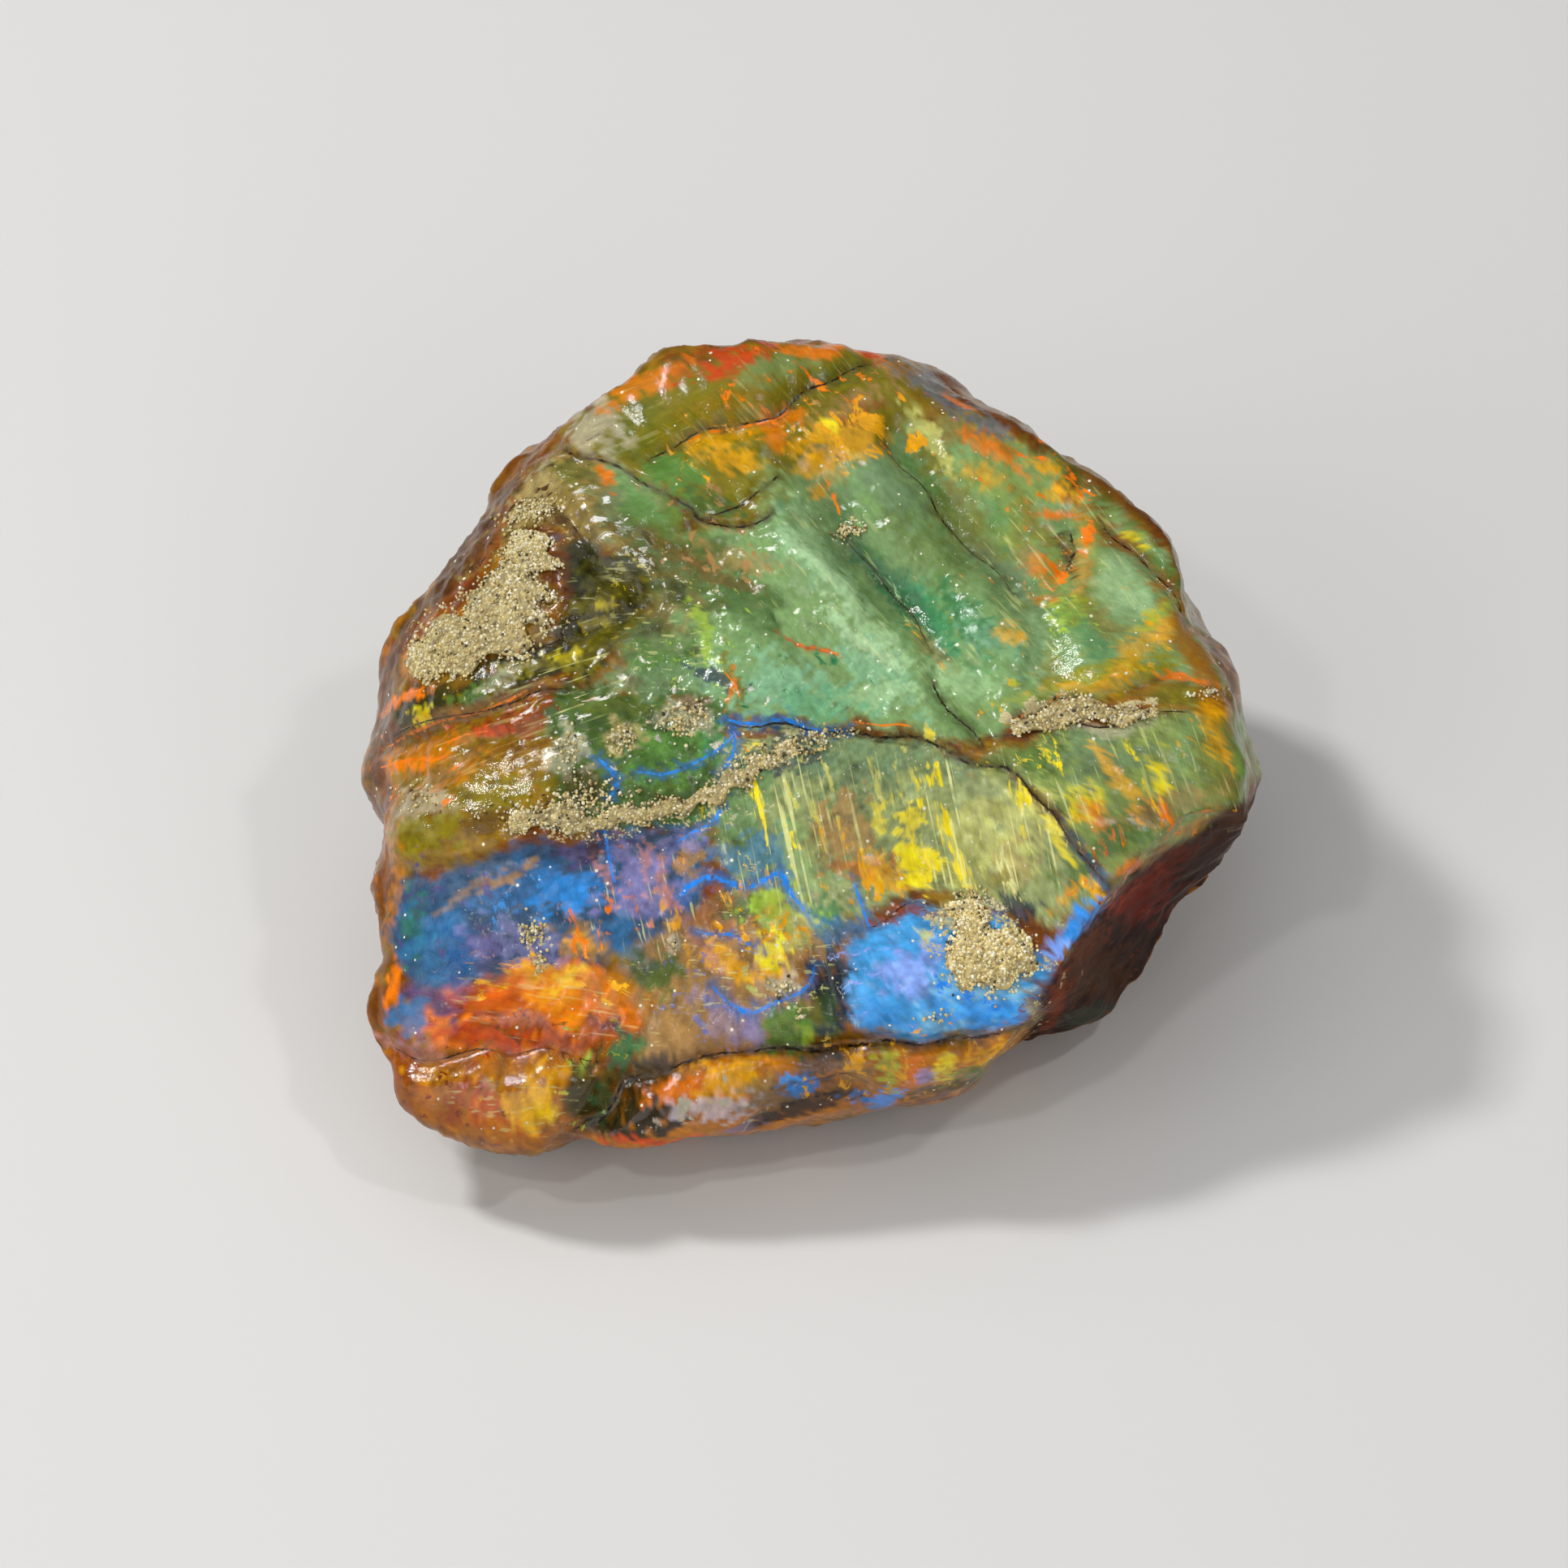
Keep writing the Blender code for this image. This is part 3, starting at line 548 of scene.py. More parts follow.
def stretched(ways, reach, gather):
    """Directions spread evenly over a flat ball and gathered towards the viewer."""
    angle = np.arccos(np.clip(ways[:, 2], -1, 1))
    wide = np.hypot(ways[:, 0], ways[:, 1]) + 1e-12
    moved = angle - gather * np.sin(angle)
    seen = np.stack((ways[:, 0] / wide * np.sin(moved), ways[:, 1] / wide * np.sin(moved),
                     np.cos(moved)), axis=1) * np.array(reach)
    return seen / np.linalg.norm(seen, axis=1)[:, None] @ AXES


def set_on_sole(skin):
    """Points below the resting plane come up along their rays from the heart to lie on it."""
    share = np.where(skin[:, 2] < -HEART_HEIGHT, -HEART_HEIGHT / np.minimum(skin[:, 2], -1e-6), 1.0)
    return skin * share[:, None]


grid, lump_quads = ball_grid(GRID_STEPS)
skin = set_on_sole(lump_skin(stretched(grid, BALL_REACH, GATHER)))
low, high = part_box("amber_lump")
shift = (np.array(low) + np.array(high)) / 2 / MM - (skin.min(axis=0) + skin.max(axis=0)) / 2
shift[2] = HEART_HEIGHT
print(len(lump_quads) * 2, "triangles, moved by", np.round(shift, 2), "mm to stand in its solid's box")
solid_size = (np.array(high) - np.array(low)) / MM
print("size in mm", np.round(np.ptp(skin, axis=0), 1), "solid", np.round(solid_size, 1))


def to_world(points):
    """From mm about the heart to metres in the frame."""
    return (points + shift) * MM


def corner_normals(points, quads):
    """Unit normal at each point: the sum of the cross products of its quads' diagonals."""
    a, b, c, d = (points[quads[:, corner]] for corner in range(4))
    faces = np.cross(c - a, d - b)
    total = np.zeros_like(points)
    for corner in range(4):
        np.add.at(total, quads[:, corner], faces)
    return total / np.linalg.norm(total, axis=1)[:, None]


seen = skin @ AXES.T
drawn = strayed(seen[:, :2], WANDER)
places = np.stack((FACE_CENTRE[0] + drawn[:, 0] / UNIT, FACE_CENTRE[1] - drawn[:, 1] / UNIT), axis=1)
skin_normals = corner_normals(skin, lump_quads)
facing = skin_normals @ AXES[2]
print("share of the skin that faces the viewer:", round(float((facing > 0).mean()), 2))

# %% [markdown]
# ## Painting with washes
#
# The colours of this resin are zones inside it, with torn edges. They are laid as washes: each wash is
# one colour and a share between 0 and 1 at every point of the skin, found from the distance to a
# stroke, to the edge of a patch or to the rim of a blot. Clouds of noise are added to that distance,
# which tears the edge. The result is stored on the mesh, so it turns with the stone.

# %% Palette
# The first names are used all over the lump, and those from amber glow on in one or two places.
PALETTE = {
    "jade": "#7ca164", "mint": "#82b48a", "teal": "#307c4c", "deep jade": "#45662e",
    "pale jade": "#a6ca92", "leaf": "#558438", "moss": "#59661e", "olive": "#7d7412",
    "bottle": "#2e360c", "lime": "#a8c83c", "straw": "#c6c66c", "sage": "#6c8860", "ochre": "#8e6c14",
    "honey": "#c07404", "gold": "#f4ac06", "yellow": "#fce41a", "orange": "#f47c04",
    "ember": "#c84402", "rust": "#843606", "skin": "#743e06", "cognac": "#2c1206", "milk": "#c6bea4",
    "steel": "#6e7272", "navy": "#1a2e40", "blue": "#3070a2", "sky": "#2a9af6", "vein": "#1f8cf6",
    "violet": "#7c78aa", "plum": "#5a4672", "rose": "#b27c76", "umber": "#4a3016", "silt": "#a89660",
    "haze": "#a8804a", "slate": "#3a4852", "lilac": "#8ca4ee", "amber glow": "#ffb820",
    "frost": "#b4d4a0", "ice": "#8cc4dc", "pear": "#8c9a3c", "dark ember": "#7c2602",
    "bark": "#6e4c1e", "lichen": "#586030", "spark": "#ffc430", "flame tip": "#ffb420",
    # The painted glint colours are painted highlights: white glints of the wet skin, laid in as flecks.
    "flame": "#ff9a12", "clear gold": "#fcc010", "clear gold edge": "#fcb408", "chalk": "#f4f4ea",
    "chalk grey": "#f0eee0", "chalk straw": "#f0eedc", "chalk sand": "#efe8d4",
    "pale straw": "#e8e89c", "shell": "#d4c8d0", "clear honey": "#b66a02", "rim honey": "#a86c0c",
    "lobe honey": "#a86404", "red glow": "#a8380a", "lobe rust": "#a03c08", "red band": "#a03804",
    "ledge green": "#9aa23c", "stain": "#9a6a10", "rim stain": "#9a6210", "plate green": "#98a66a",
    "ledge olive": "#968e10", "shoulder tan": "#948042", "rim brown": "#8a5408",
    "knob rust": "#8a3a10", "right green": "#889e52", "red ridge": "#7c2a06", "break brown": "#7a3c10",
    "foot grey": "#6c6a50", "red depth": "#6a1a04", "break rim": "#5c3410", "sea green": "#54a070",
    "edge brown": "#502c0c", "flute green": "#4e9a68", "shade green": "#4c5c4c", "dusk": "#4c4c7c",
    "break umber": "#4a2a10", "clear blue": "#3f8ad0", "field blue": "#3c9ee0",
    "knob green": "#3c4234", "break dark": "#3a1c0a", "vein glow": "#2f6aa8", "cheek blue": "#2f6aa0",
    "band blue": "#2e5678", "lake": "#2c6490", "layer blue": "#2c4c6c", "blue shade": "#2a80c8",
    "sunk shade": "#2a2c10", "deep blue": "#1c5090", "foot shade": "#1c2012", "striae": "#ecec9a",
    "crack": "#241408", "dust shade": "#a8965c", "dust light": "#e6daae", "grain and glint white": "#eee8d0",
    "dried silt": "#b8a46c", "sand pale": "#e2d6a8", "sand straw": "#d6c282", "sand tan": "#c2ac6c",
    "sand white": "#f0e8cc", "sand grey": "#a89e7c", "sand dark": "#3a3226", "sand brown": "#a07a40",
}


def linear(colour):
    """A palette colour turned from the screen's curve to linear light."""
    text = PALETTE[colour]
    value = np.array([int(text[i:i + 2], 16) / 255 for i in (1, 3, 5)])
    return np.where(value <= 0.04045, value / 12.92, ((value + 0.055) / 1.055) ** 2.4)


print(len(PALETTE), "colours; jade is", np.round(linear("jade"), 3), "in linear light")

# %% [markdown]
# ## Clouds that tear the edges
#
# Seven clouds of four sizes are worked out once for the whole skin and used by every wash. Sizes that
# come twice have two clouds, so that neighbouring blots aren't torn in the same way. Washes of the
# face end where the skin turns away from the viewer, and the rest is the back.

# %% Clouds, front and back
def cloud(points, wavelength, seed, octaves=3):
    """Torn smooth noise of about +-1: hills, with lower hills of half the size on them, and so on."""
    return sum(0.62 * ripple(points, wavelength / 2 ** k, seed + k, 14) / 1.6 ** k
               for k in range(octaves))


CLOUD_SIZES = (6.0, 3.0, 3.0, 1.6, 1.6, 0.9, 0.9)       # mm from top to top
CLOUDS = [cloud(skin, size, 50 + 5 * k) for k, size in enumerate(CLOUD_SIZES)]
wide, torn, torn_too, rough, rough_too, crumbly, crumbly_too = CLOUDS
front = smooth_step(0.02, 0.18, facing)
back = 1 - front
print("clouds span", [round(float(np.abs(c).max()), 1) for c in CLOUDS])

# %% [markdown]
# ## Shares of strokes, patches and blots
#
# Only the points near a stroke, patch or blot are looked at, which makes 400 of them quick. Large
# blots are torn by large clouds and small ones by fine clouds, so that all edges look equally worn.

# %% Strokes, patches and blots
SMALL_BLOT, LARGE_BLOT = 16, 38     # half widths at which a blot takes the next larger clouds
BLOT_SOFT = 0.35


def near_by(low, high):
    """Which places lie between two corners of a box."""
    return np.all((places > low) & (places < high), axis=1) & (front > 0)


def stroke(points, width, soft=6.0, tear=4.0, noise=rough):
    """Share of a brush stroke along places: 1 on its line, falling to 0 at its torn edge."""
    share = np.zeros(len(places))
    corners = np.array(points, float)
    margin = width + soft + 3 * tear
    here = near_by(corners.min(axis=0) - margin, corners.max(axis=0) + margin)
    gap = nearest(places[here], rounded(points, cuts=4))[0] + tear * noise[here]
    share[here] = smooth_step(width + soft, width - soft, gap)
    return share * front


def patch(points, soft=8.0, tear=10.0, noise=torn):
    """Share of a patch inside a closed outline of places, with a torn edge."""
    share = np.zeros(len(places))
    ring = rounded(points, closed=True, cuts=4)
    margin = soft + 3 * tear
    here = near_by(ring.min(axis=0) - margin, ring.max(axis=0) + margin)
    ring = np.concatenate((ring, ring[:1]))
    spot = places[here]
    inside = np.zeros(len(spot), bool)
    for a, b in zip(ring[:-1], ring[1:]):
        crosses = (a[1] > spot[:, 1]) != (b[1] > spot[:, 1])
        meets = (b[0] - a[0]) * (spot[:, 1] - a[1]) / (b[1] - a[1] + 1e-9) + a[0]
        inside ^= crosses & (spot[:, 0] < meets)
    gap = nearest(spot, ring)[0]
    share[here] = smooth_step(-soft, soft, np.where(inside, gap, -gap) + tear * noise[here])
    return share * front


def blot(x, y, long, short, turn=0.0, tear=0.4, soft=BLOT_SOFT):
    """Share of a torn oval: its middle, its half lengths and its turn in degrees."""
    share = np.zeros(len(places))
    reach = 1.6 * max(long, short)
    here = near_by((x - reach, y - reach), (x + reach, y + reach))
    rel = (places[here] - (x, y)) * (1, -1)
    u, v = turned(rel[:, 0], rel[:, 1], turn)
    far = np.hypot(u / long, v / short)
    pairs = ((crumbly, crumbly_too), (rough, rough_too), (torn, torn_too))
    width = min(long, short)
    noise = pairs[(width > SMALL_BLOT) + (width > LARGE_BLOT)][int(x + y) % 2]
    share[here] = smooth_step(-0.8 * soft, soft, 1 - far + tear * noise[here])
    return share * front


def above(noise, level, soft=0.25):
    """Share of the places where a noise stands above a level."""
    return smooth_step(level - soft, level + soft, noise)


def most_of(rows):
    """The highest amount that any row gives to a place: middle, half lengths, turn, amount."""
    share = np.zeros(len(skin))
    for *shape, amount in rows:
        share = np.maximum(share, amount * blot(*shape))
    return share


print("a blot of 100 by 50 covers", int((blot(1000, 800, 100, 50) > 0.5).sum()), "points")

# %% [markdown]
# ## Washes
#
# Three things are kept for each point: the paint, the colour that shows through from below, and how
# much of that shows. They start as plain brown skin over ember.

# %% Washes
paint = np.tile(linear("skin"), (len(skin), 1))
deep = np.tile(linear("ember"), (len(skin), 1))
cover = np.full(len(skin), 0.10)


def wash(colour, share, strength=1.0):
    """Lay one colour over the paint by its share."""
    global paint
    paint = paint + (linear(colour) - paint) * (share * strength)[:, None]


def sink(colour, share, amount):
    """Set the colour that shows through from below, and how much of it shows, by a share."""
    global deep, cover
    deep = deep + (linear(colour) - deep) * np.sqrt(share)[:, None]
    cover = cover + (amount - cover) * share


def wash_blots(rows, soft=BLOT_SOFT):
    """Lay rows of torn ovals: colour, middle, half lengths, turn and strength."""
    for colour, *shape, strength in rows:
        wash(colour, blot(*shape, soft=soft), strength)


print("washes start from", np.round(paint[0], 3), "over", np.round(deep[0], 3))

# %% [markdown]
# ## Old rind all round
#
# The sides and the back aren't seen in the photograph. The coloured layers of the face run on through
# the lump, so the back shows them in the same order from top to foot. Most of it is still under the
# honey brown rind that rims the face, and the layers look out where the rind has chipped away.

# %% Layers of the body, and the rind over them
wash("ochre", above(wide, 0.1, 0.6), 0.8)
wash("honey", above(torn, 0.5, 0.5), 0.6)
layer = seen[:, 1] + 2.2 * wide + 1.0 * torn
# Each layer: its colour, and the heights in mm between which it lies.
LAYERS = (
    ("olive", 10, 60), ("moss", 4, 11), ("sage", 0, 5), ("ochre", -4, 1), ("layer blue", -9, -3),
    ("rust", -13, -8), ("honey", -60, -12),
)
for colour, foot, top in LAYERS:
    within = smooth_step(foot - 1, foot + 1, layer) * smooth_step(top + 1, top - 1, layer)
    wash(colour, back * within, 0.9)
sink("umber", back, 0.72)
sink("skin", back * above(wide + 0.4 * torn_too, -0.3, 0.5), 0.70)
sink("ochre", back * above(torn_too - 0.5 * wide, 0.9, 0.4), 0.62)
print(len(LAYERS), "layers behind; the back is", round(float((back > 0.5).mean()), 2), "of the skin")

# %% [markdown]
# ## The large zones of the face
#
# From a step away the face has a dozen zones: olive crown, jade flutes, bottle green eye, ochre cheek,
# green middle, straw plate, blue band, embers, brown and gold, blue field, honey foot and dark break.

# %% Zones as patches
CROWN = (
    (690, 530), (760, 478), (830, 440), (900, 424), (1000, 418), (1090, 436), (1130, 470), (1150, 520),
    (1110, 545), (1040, 570), (985, 585), (950, 630), (890, 650), (860, 640), (800, 600), (740, 575),
)
SHOULDER = (
    (545, 720), (580, 660), (625, 590), (680, 545), (740, 575), (800, 605), (850, 650), (820, 720),
    (770, 690), (730, 665), (690, 650), (650, 650), (600, 680),
)
JADE = (
    (740, 590), (800, 610), (860, 650), (940, 645), (985, 585), (1040, 570), (1110, 545), (1150, 510),
    (1200, 520), (1260, 550), (1320, 600), (1380, 635), (1440, 695), (1478, 760), (1500, 840),
    (1430, 838), (1340, 850), (1290, 865), (1240, 895), (1210, 915), (1130, 905), (1050, 892),
    (980, 886), (900, 870), (840, 860), (780, 850), (770, 800), (800, 760), (790, 720), (820, 710),
)
EYE = (
    (700, 672), (750, 680), (785, 710), (790, 745), (770, 790), (740, 830), (690, 835), (620, 850),
    (560, 860), (500, 905), (478, 880), (500, 850), (570, 830), (640, 810), (690, 780), (705, 730),
)
CHEEK = (
    (468, 930), (560, 900), (640, 880), (700, 880), (710, 940), (690, 990), (640, 1020), (600, 1050),
    (520, 1075), (478, 1060), (466, 1000),
)
MIDDLE = (
    (690, 850), (780, 845), (870, 860), (905, 885), (905, 940), (890, 1000), (820, 1020), (740, 1010),
    (690, 1000), (680, 930),
)
STRAW_PLATE = (
    (890, 905), (960, 900), (1040, 905), (1114, 915), (1164, 927), (1204, 944), (1250, 955),
    (1279, 1000), (1310, 1040), (1350, 1085), (1330, 1110), (1285, 1130), (1230, 1115), (1160, 1105),
    (1090, 1112), (1060, 1130), (1010, 1150), (960, 1110), (900, 1070), (880, 1010),
)
RIGHT_PLATE = (
    (1215, 940), (1260, 912), (1330, 905), (1400, 892), (1480, 885), (1548, 880), (1556, 940),
    (1529, 980), (1479, 1012), (1436, 1041), (1393, 1066), (1371, 1087), (1350, 1075), (1310, 1020),
    (1279, 985), (1250, 950),
)
BLUE_BAND = (
    (488, 1090), (560, 1065), (620, 1048), (700, 1032), (780, 1018), (870, 1020), (880, 1060),
    (866, 1110), (850, 1160), (780, 1170), (740, 1185), (700, 1195), (600, 1212), (520, 1220),
    (495, 1180), (488, 1130),
)
EMBERS = (
    (530, 1222), (600, 1200), (680, 1188), (750, 1192), (795, 1240), (780, 1275), (720, 1300),
    (640, 1298), (560, 1296), (520, 1262),
)
BROWNS = (
    (780, 1175), (850, 1120), (900, 1095), (980, 1105), (1010, 1150), (990, 1200), (1000, 1260),
    (960, 1285), (860, 1300), (800, 1305), (785, 1240),
)
BLUE_FIELD = (
    (1048, 1175), (1062, 1142), (1100, 1125), (1160, 1118), (1230, 1130), (1275, 1165), (1282, 1200),
    (1262, 1240), (1230, 1262), (1160, 1272), (1090, 1270), (1055, 1250), (1043, 1210),
)
LOBE = (
    (484, 1292), (530, 1300), (606, 1288), (650, 1293), (740, 1296), (776, 1325), (735, 1375),
    (700, 1408), (650, 1420), (590, 1405), (530, 1378), (490, 1340),
)
FOOT = (
    (806, 1322), (860, 1301), (927, 1288), (1024, 1290), (1101, 1280), (1200, 1272), (1270, 1260),
    (1240, 1310), (1168, 1345), (1088, 1364), (981, 1388), (874, 1410), (780, 1416), (720, 1406),
    (760, 1350),
)
BREAK = (
    (1560, 953), (1529, 984), (1479, 1016), (1436, 1045), (1393, 1070), (1371, 1091), (1357, 1113),
    (1314, 1166), (1276, 1222), (1273, 1250), (1262, 1290), (1350, 1290), (1440, 1210), (1480, 1120),
    (1540, 1060), (1580, 960),
)
ZONES = (
    ("olive", CROWN), ("shoulder tan", SHOULDER), ("jade", JADE), ("bottle", EYE), ("ochre", CHEEK),
    ("deep jade", MIDDLE), ("plate green", STRAW_PLATE), ("right green", RIGHT_PLATE),
    ("band blue", BLUE_BAND), ("orange", EMBERS), ("haze", BROWNS), ("field blue", BLUE_FIELD),
    ("clear honey", LOBE), ("honey", FOOT),
)
for colour, ring in ZONES:
    wash(colour, patch(ring, 9, 8), 0.94)
print(len(ZONES), "zones, mean colour", np.round(paint.mean(axis=0), 3))

# %% [markdown]
# ## Blots within the zones
#
# Within each zone the colour shifts from one palm of resin to the next. Each row names a colour, then
# the middle of an oval, its half lengths, its turn in degrees and its strength. The crown is olive and
# ochre with an ember rim, and its shoulder is dusted with silt.

# %% Crown, shoulder and rim of the face
UPPER_BLOTS = (
    ("moss", 790, 530, 50, 34, 30, .6), ("olive", 850, 510, 70, 22, 22, .8),
    ("ochre", 900, 490, 60, 14, 22, .6), ("jade", 960, 455, 46, 16, 10, .5),
    ("moss", 1030, 460, 42, 14, 8, .6), ("ember", 905, 446, 40, 13, 18, .95),
    ("rust", 860, 440, 40, 12, 24, .7), ("orange", 1010, 428, 60, 9, 2, .8),
    ("ember", 1075, 434, 32, 8, -18, .9), ("haze", 1110, 455, 26, 12, -30, .8),
    ("milk", 730, 530, 34, 34, 30, .55), ("orange", 800, 470, 60, 12, 30, .55),
    ("gold", 905, 530, 46, 17, 24, .5), ("orange", 960, 525, 26, 26, 0, .6),
    ("leaf", 830, 590, 36, 30, -20, .9), ("deep jade", 870, 622, 34, 16, -10, .8),
    ("olive", 930, 590, 40, 28, 20, .7), ("gold", 905, 570, 34, 16, -30, .6),
    ("haze", 1050, 500, 44, 16, 20, .7), ("rust", 1062, 510, 34, 7, 20, .6),
    ("gold", 1045, 545, 44, 26, -5, .6), ("gold", 1010, 575, 20, 30, 20, .7),
    ("yellow", 1020, 525, 12, 10, 0, .9), ("olive", 1160, 575, 36, 22, -50, .8),
    ("ochre", 1165, 520, 50, 20, -38, .7), ("straw", 1150, 548, 46, 12, -55, .75),
    ("honey", 1225, 545, 40, 12, -32, .8), ("steel", 1150, 480, 44, 16, -36, .9),
    ("steel", 1215, 522, 34, 11, -30, .85), ("orange", 1178, 492, 22, 4, -30, .8),
    ("silt", 650, 605, 46, 26, 45, .7), ("rust", 600, 660, 62, 13, 55, .75),
    ("rust", 545, 740, 50, 12, 48, .7), ("skin", 640, 580, 70, 13, 46, .8),
    ("umber", 570, 690, 70, 10, 52, .7), ("sage", 770, 640, 40, 22, -40, .7),
    ("moss", 710, 585, 40, 16, -25, .6), ("orange", 747, 600, 6, 14, 15, .8),
    ("leaf", 800, 640, 40, 22, -35, .7), ("slate", 655, 680, 44, 8, 25, .6),
    ("umber", 690, 642, 30, 7, -42, .8), ("umber", 650, 655, 40, 8, 18, .6),
)
wash_blots(UPPER_BLOTS, 0.24)
print("crown:", len(UPPER_BLOTS), "blots")

# %% [markdown]
# ## Blots of the jade flutes
#
# The jade field is the milky heart of the face. Its ribs are pale and its flutes teal, partly the
# milk's own colour and partly painted highlight on the ribs and painted shade in the flutes. Iron has
# stained it gold and orange along the right slope. Blots fade softly here, as the milk lies deep.

# %% Jade, teal and the stained right slope
JADE_BLOTS = (
    ("moss", 850, 680, 64, 36, -38, .7), ("haze", 910, 690, 44, 14, -15, .6),
    ("haze", 830, 740, 34, 30, -30, .55), ("deep jade", 910, 740, 66, 40, -45, .8),
    ("moss", 800, 760, 26, 40, 0, .5), ("umber", 820, 760, 20, 26, 0, .45),
    ("jade", 960, 620, 34, 44, 0, .6), ("mint", 1005, 690, 70, 26, -58, .55),
    ("pale jade", 1040, 735, 90, 17, -48, .8), ("pale jade", 1000, 650, 50, 14, -65, .6),
    ("mint", 960, 850, 76, 36, -12, .85), ("mint", 1080, 830, 60, 30, -40, .7),
    ("jade", 900, 810, 50, 40, 0, .6), ("pale jade", 1080, 860, 60, 13, 5, .6),
    ("teal", 1120, 745, 90, 17, -47, .85), ("teal", 1075, 690, 60, 12, -55, .7),
    ("sage", 1085, 610, 46, 34, -40, .8), ("moss", 1130, 680, 70, 30, -42, .5),
    ("teal", 1190, 765, 62, 24, -35, .75), ("mint", 1220, 790, 50, 14, -45, .6),
    ("jade", 1060, 640, 60, 20, -50, .6), ("leaf", 1145, 600, 60, 9, -55, .8),
    ("sage", 1240, 700, 80, 22, -58, .6), ("pale jade", 1275, 800, 60, 16, -75, .6),
    ("jade", 1210, 840, 60, 30, -20, .7), ("pale jade", 1180, 835, 44, 16, -20, .5),
    ("jade", 1260, 620, 36, 50, -20, .8), ("gold", 1285, 578, 22, 9, -20, .95),
    ("gold", 1312, 606, 22, 10, -10, .9), ("orange", 1308, 632, 30, 5, 2, .9),
    ("haze", 1262, 672, 17, 40, 25, .7), ("leaf", 1250, 650, 30, 30, 0, .5),
    ("orange", 1285, 700, 12, 22, 15, .7), ("orange", 1328, 700, 13, 40, -8, .6),
    ("orange", 1298, 742, 20, 8, 0, .7), ("stain", 1345, 645, 34, 16, -40, .7),
    ("pear", 1330, 700, 60, 60, -30, .5), ("pear", 1250, 600, 60, 40, -30, .5),
    ("olive", 1180, 640, 60, 20, -50, .4), ("pale jade", 1385, 715, 44, 42, -30, .75),
    ("jade", 1430, 720, 24, 60, 40, .6), ("haze", 1392, 672, 40, 12, -35, .7),
    ("lime", 1320, 758, 24, 15, -15, .8), ("teal", 1345, 790, 60, 16, -50, .5),
    ("gold", 1432, 775, 20, 22, 0, .75), ("ledge olive", 1375, 828, 76, 18, 8, .9),
    ("olive", 1300, 830, 14, 34, 0, .6), ("rim honey", 1462, 780, 24, 66, 28, .85),
    ("rim brown", 1410, 690, 12, 90, 48, .7), ("moss", 1330, 590, 60, 12, -38, .8),
    ("skin", 1375, 615, 50, 9, -38, .8), ("leaf", 1425, 690, 50, 9, -48, .7),
    ("yellow", 1405, 672, 18, 5, -38, .8), ("rim stain", 1490, 850, 16, 60, 15, .8),
    ("gold", 1240, 785, 16, 14, 0, .6), ("olive", 1445, 860, 34, 20, 0, .9),
    ("gold", 1484, 875, 15, 17, 0, .9), ("orange", 1450, 833, 32, 4, -4, .9),
    ("umber", 1310, 690, 4, 30, 10, .9), ("olive", 1200, 640, 12, 60, 35, .4),
    ("lichen", 826, 706, 74, 50, -40, .65), ("bark", 872, 704, 62, 9, -18, .6),
    ("bark", 820, 668, 50, 8, -30, .5), ("lichen", 800, 800, 46, 40, 0, .5),
    # Painted highlights: the painted rib highlight streaks lie along the ribs of the flutes.
    ("flute green", 1146, 760, 70, 14, -46, .6), ("frost", 1000, 690, 70, 8, -52, .6),
    ("frost", 1062, 792, 60, 9, -44, .6), ("sea green", 1010, 870, 50, 20, 0, .5),
    ("ember", 998, 794, 30, 4, -22, .8), ("gold", 1398, 800, 60, 13, 58, .5),
    ("ochre", 1352, 770, 40, 18, -40, .5), ("orange", 1228, 560, 44, 8, -36, .6),
    ("gold", 1215, 590, 24, 12, -40, .5), ("ochre", 1275, 640, 50, 12, -50, .5),
    ("haze", 1150, 800, 30, 10, -40, .4), ("gold", 1345, 840, 50, 8, 10, .6),
    ("lime", 1420, 760, 30, 10, 50, .5), ("ledge green", 1290, 860, 60, 12, 5, .6),
)
wash_blots(JADE_BLOTS, 0.45)
print("flutes:", len(JADE_BLOTS), "blots")

# %% [markdown]
# ## Blots of the left side
#
# The left side is old skin: a bottle green eye with yellow flashes, rusty seams under it, and an ochre
# swell with milky bruises.

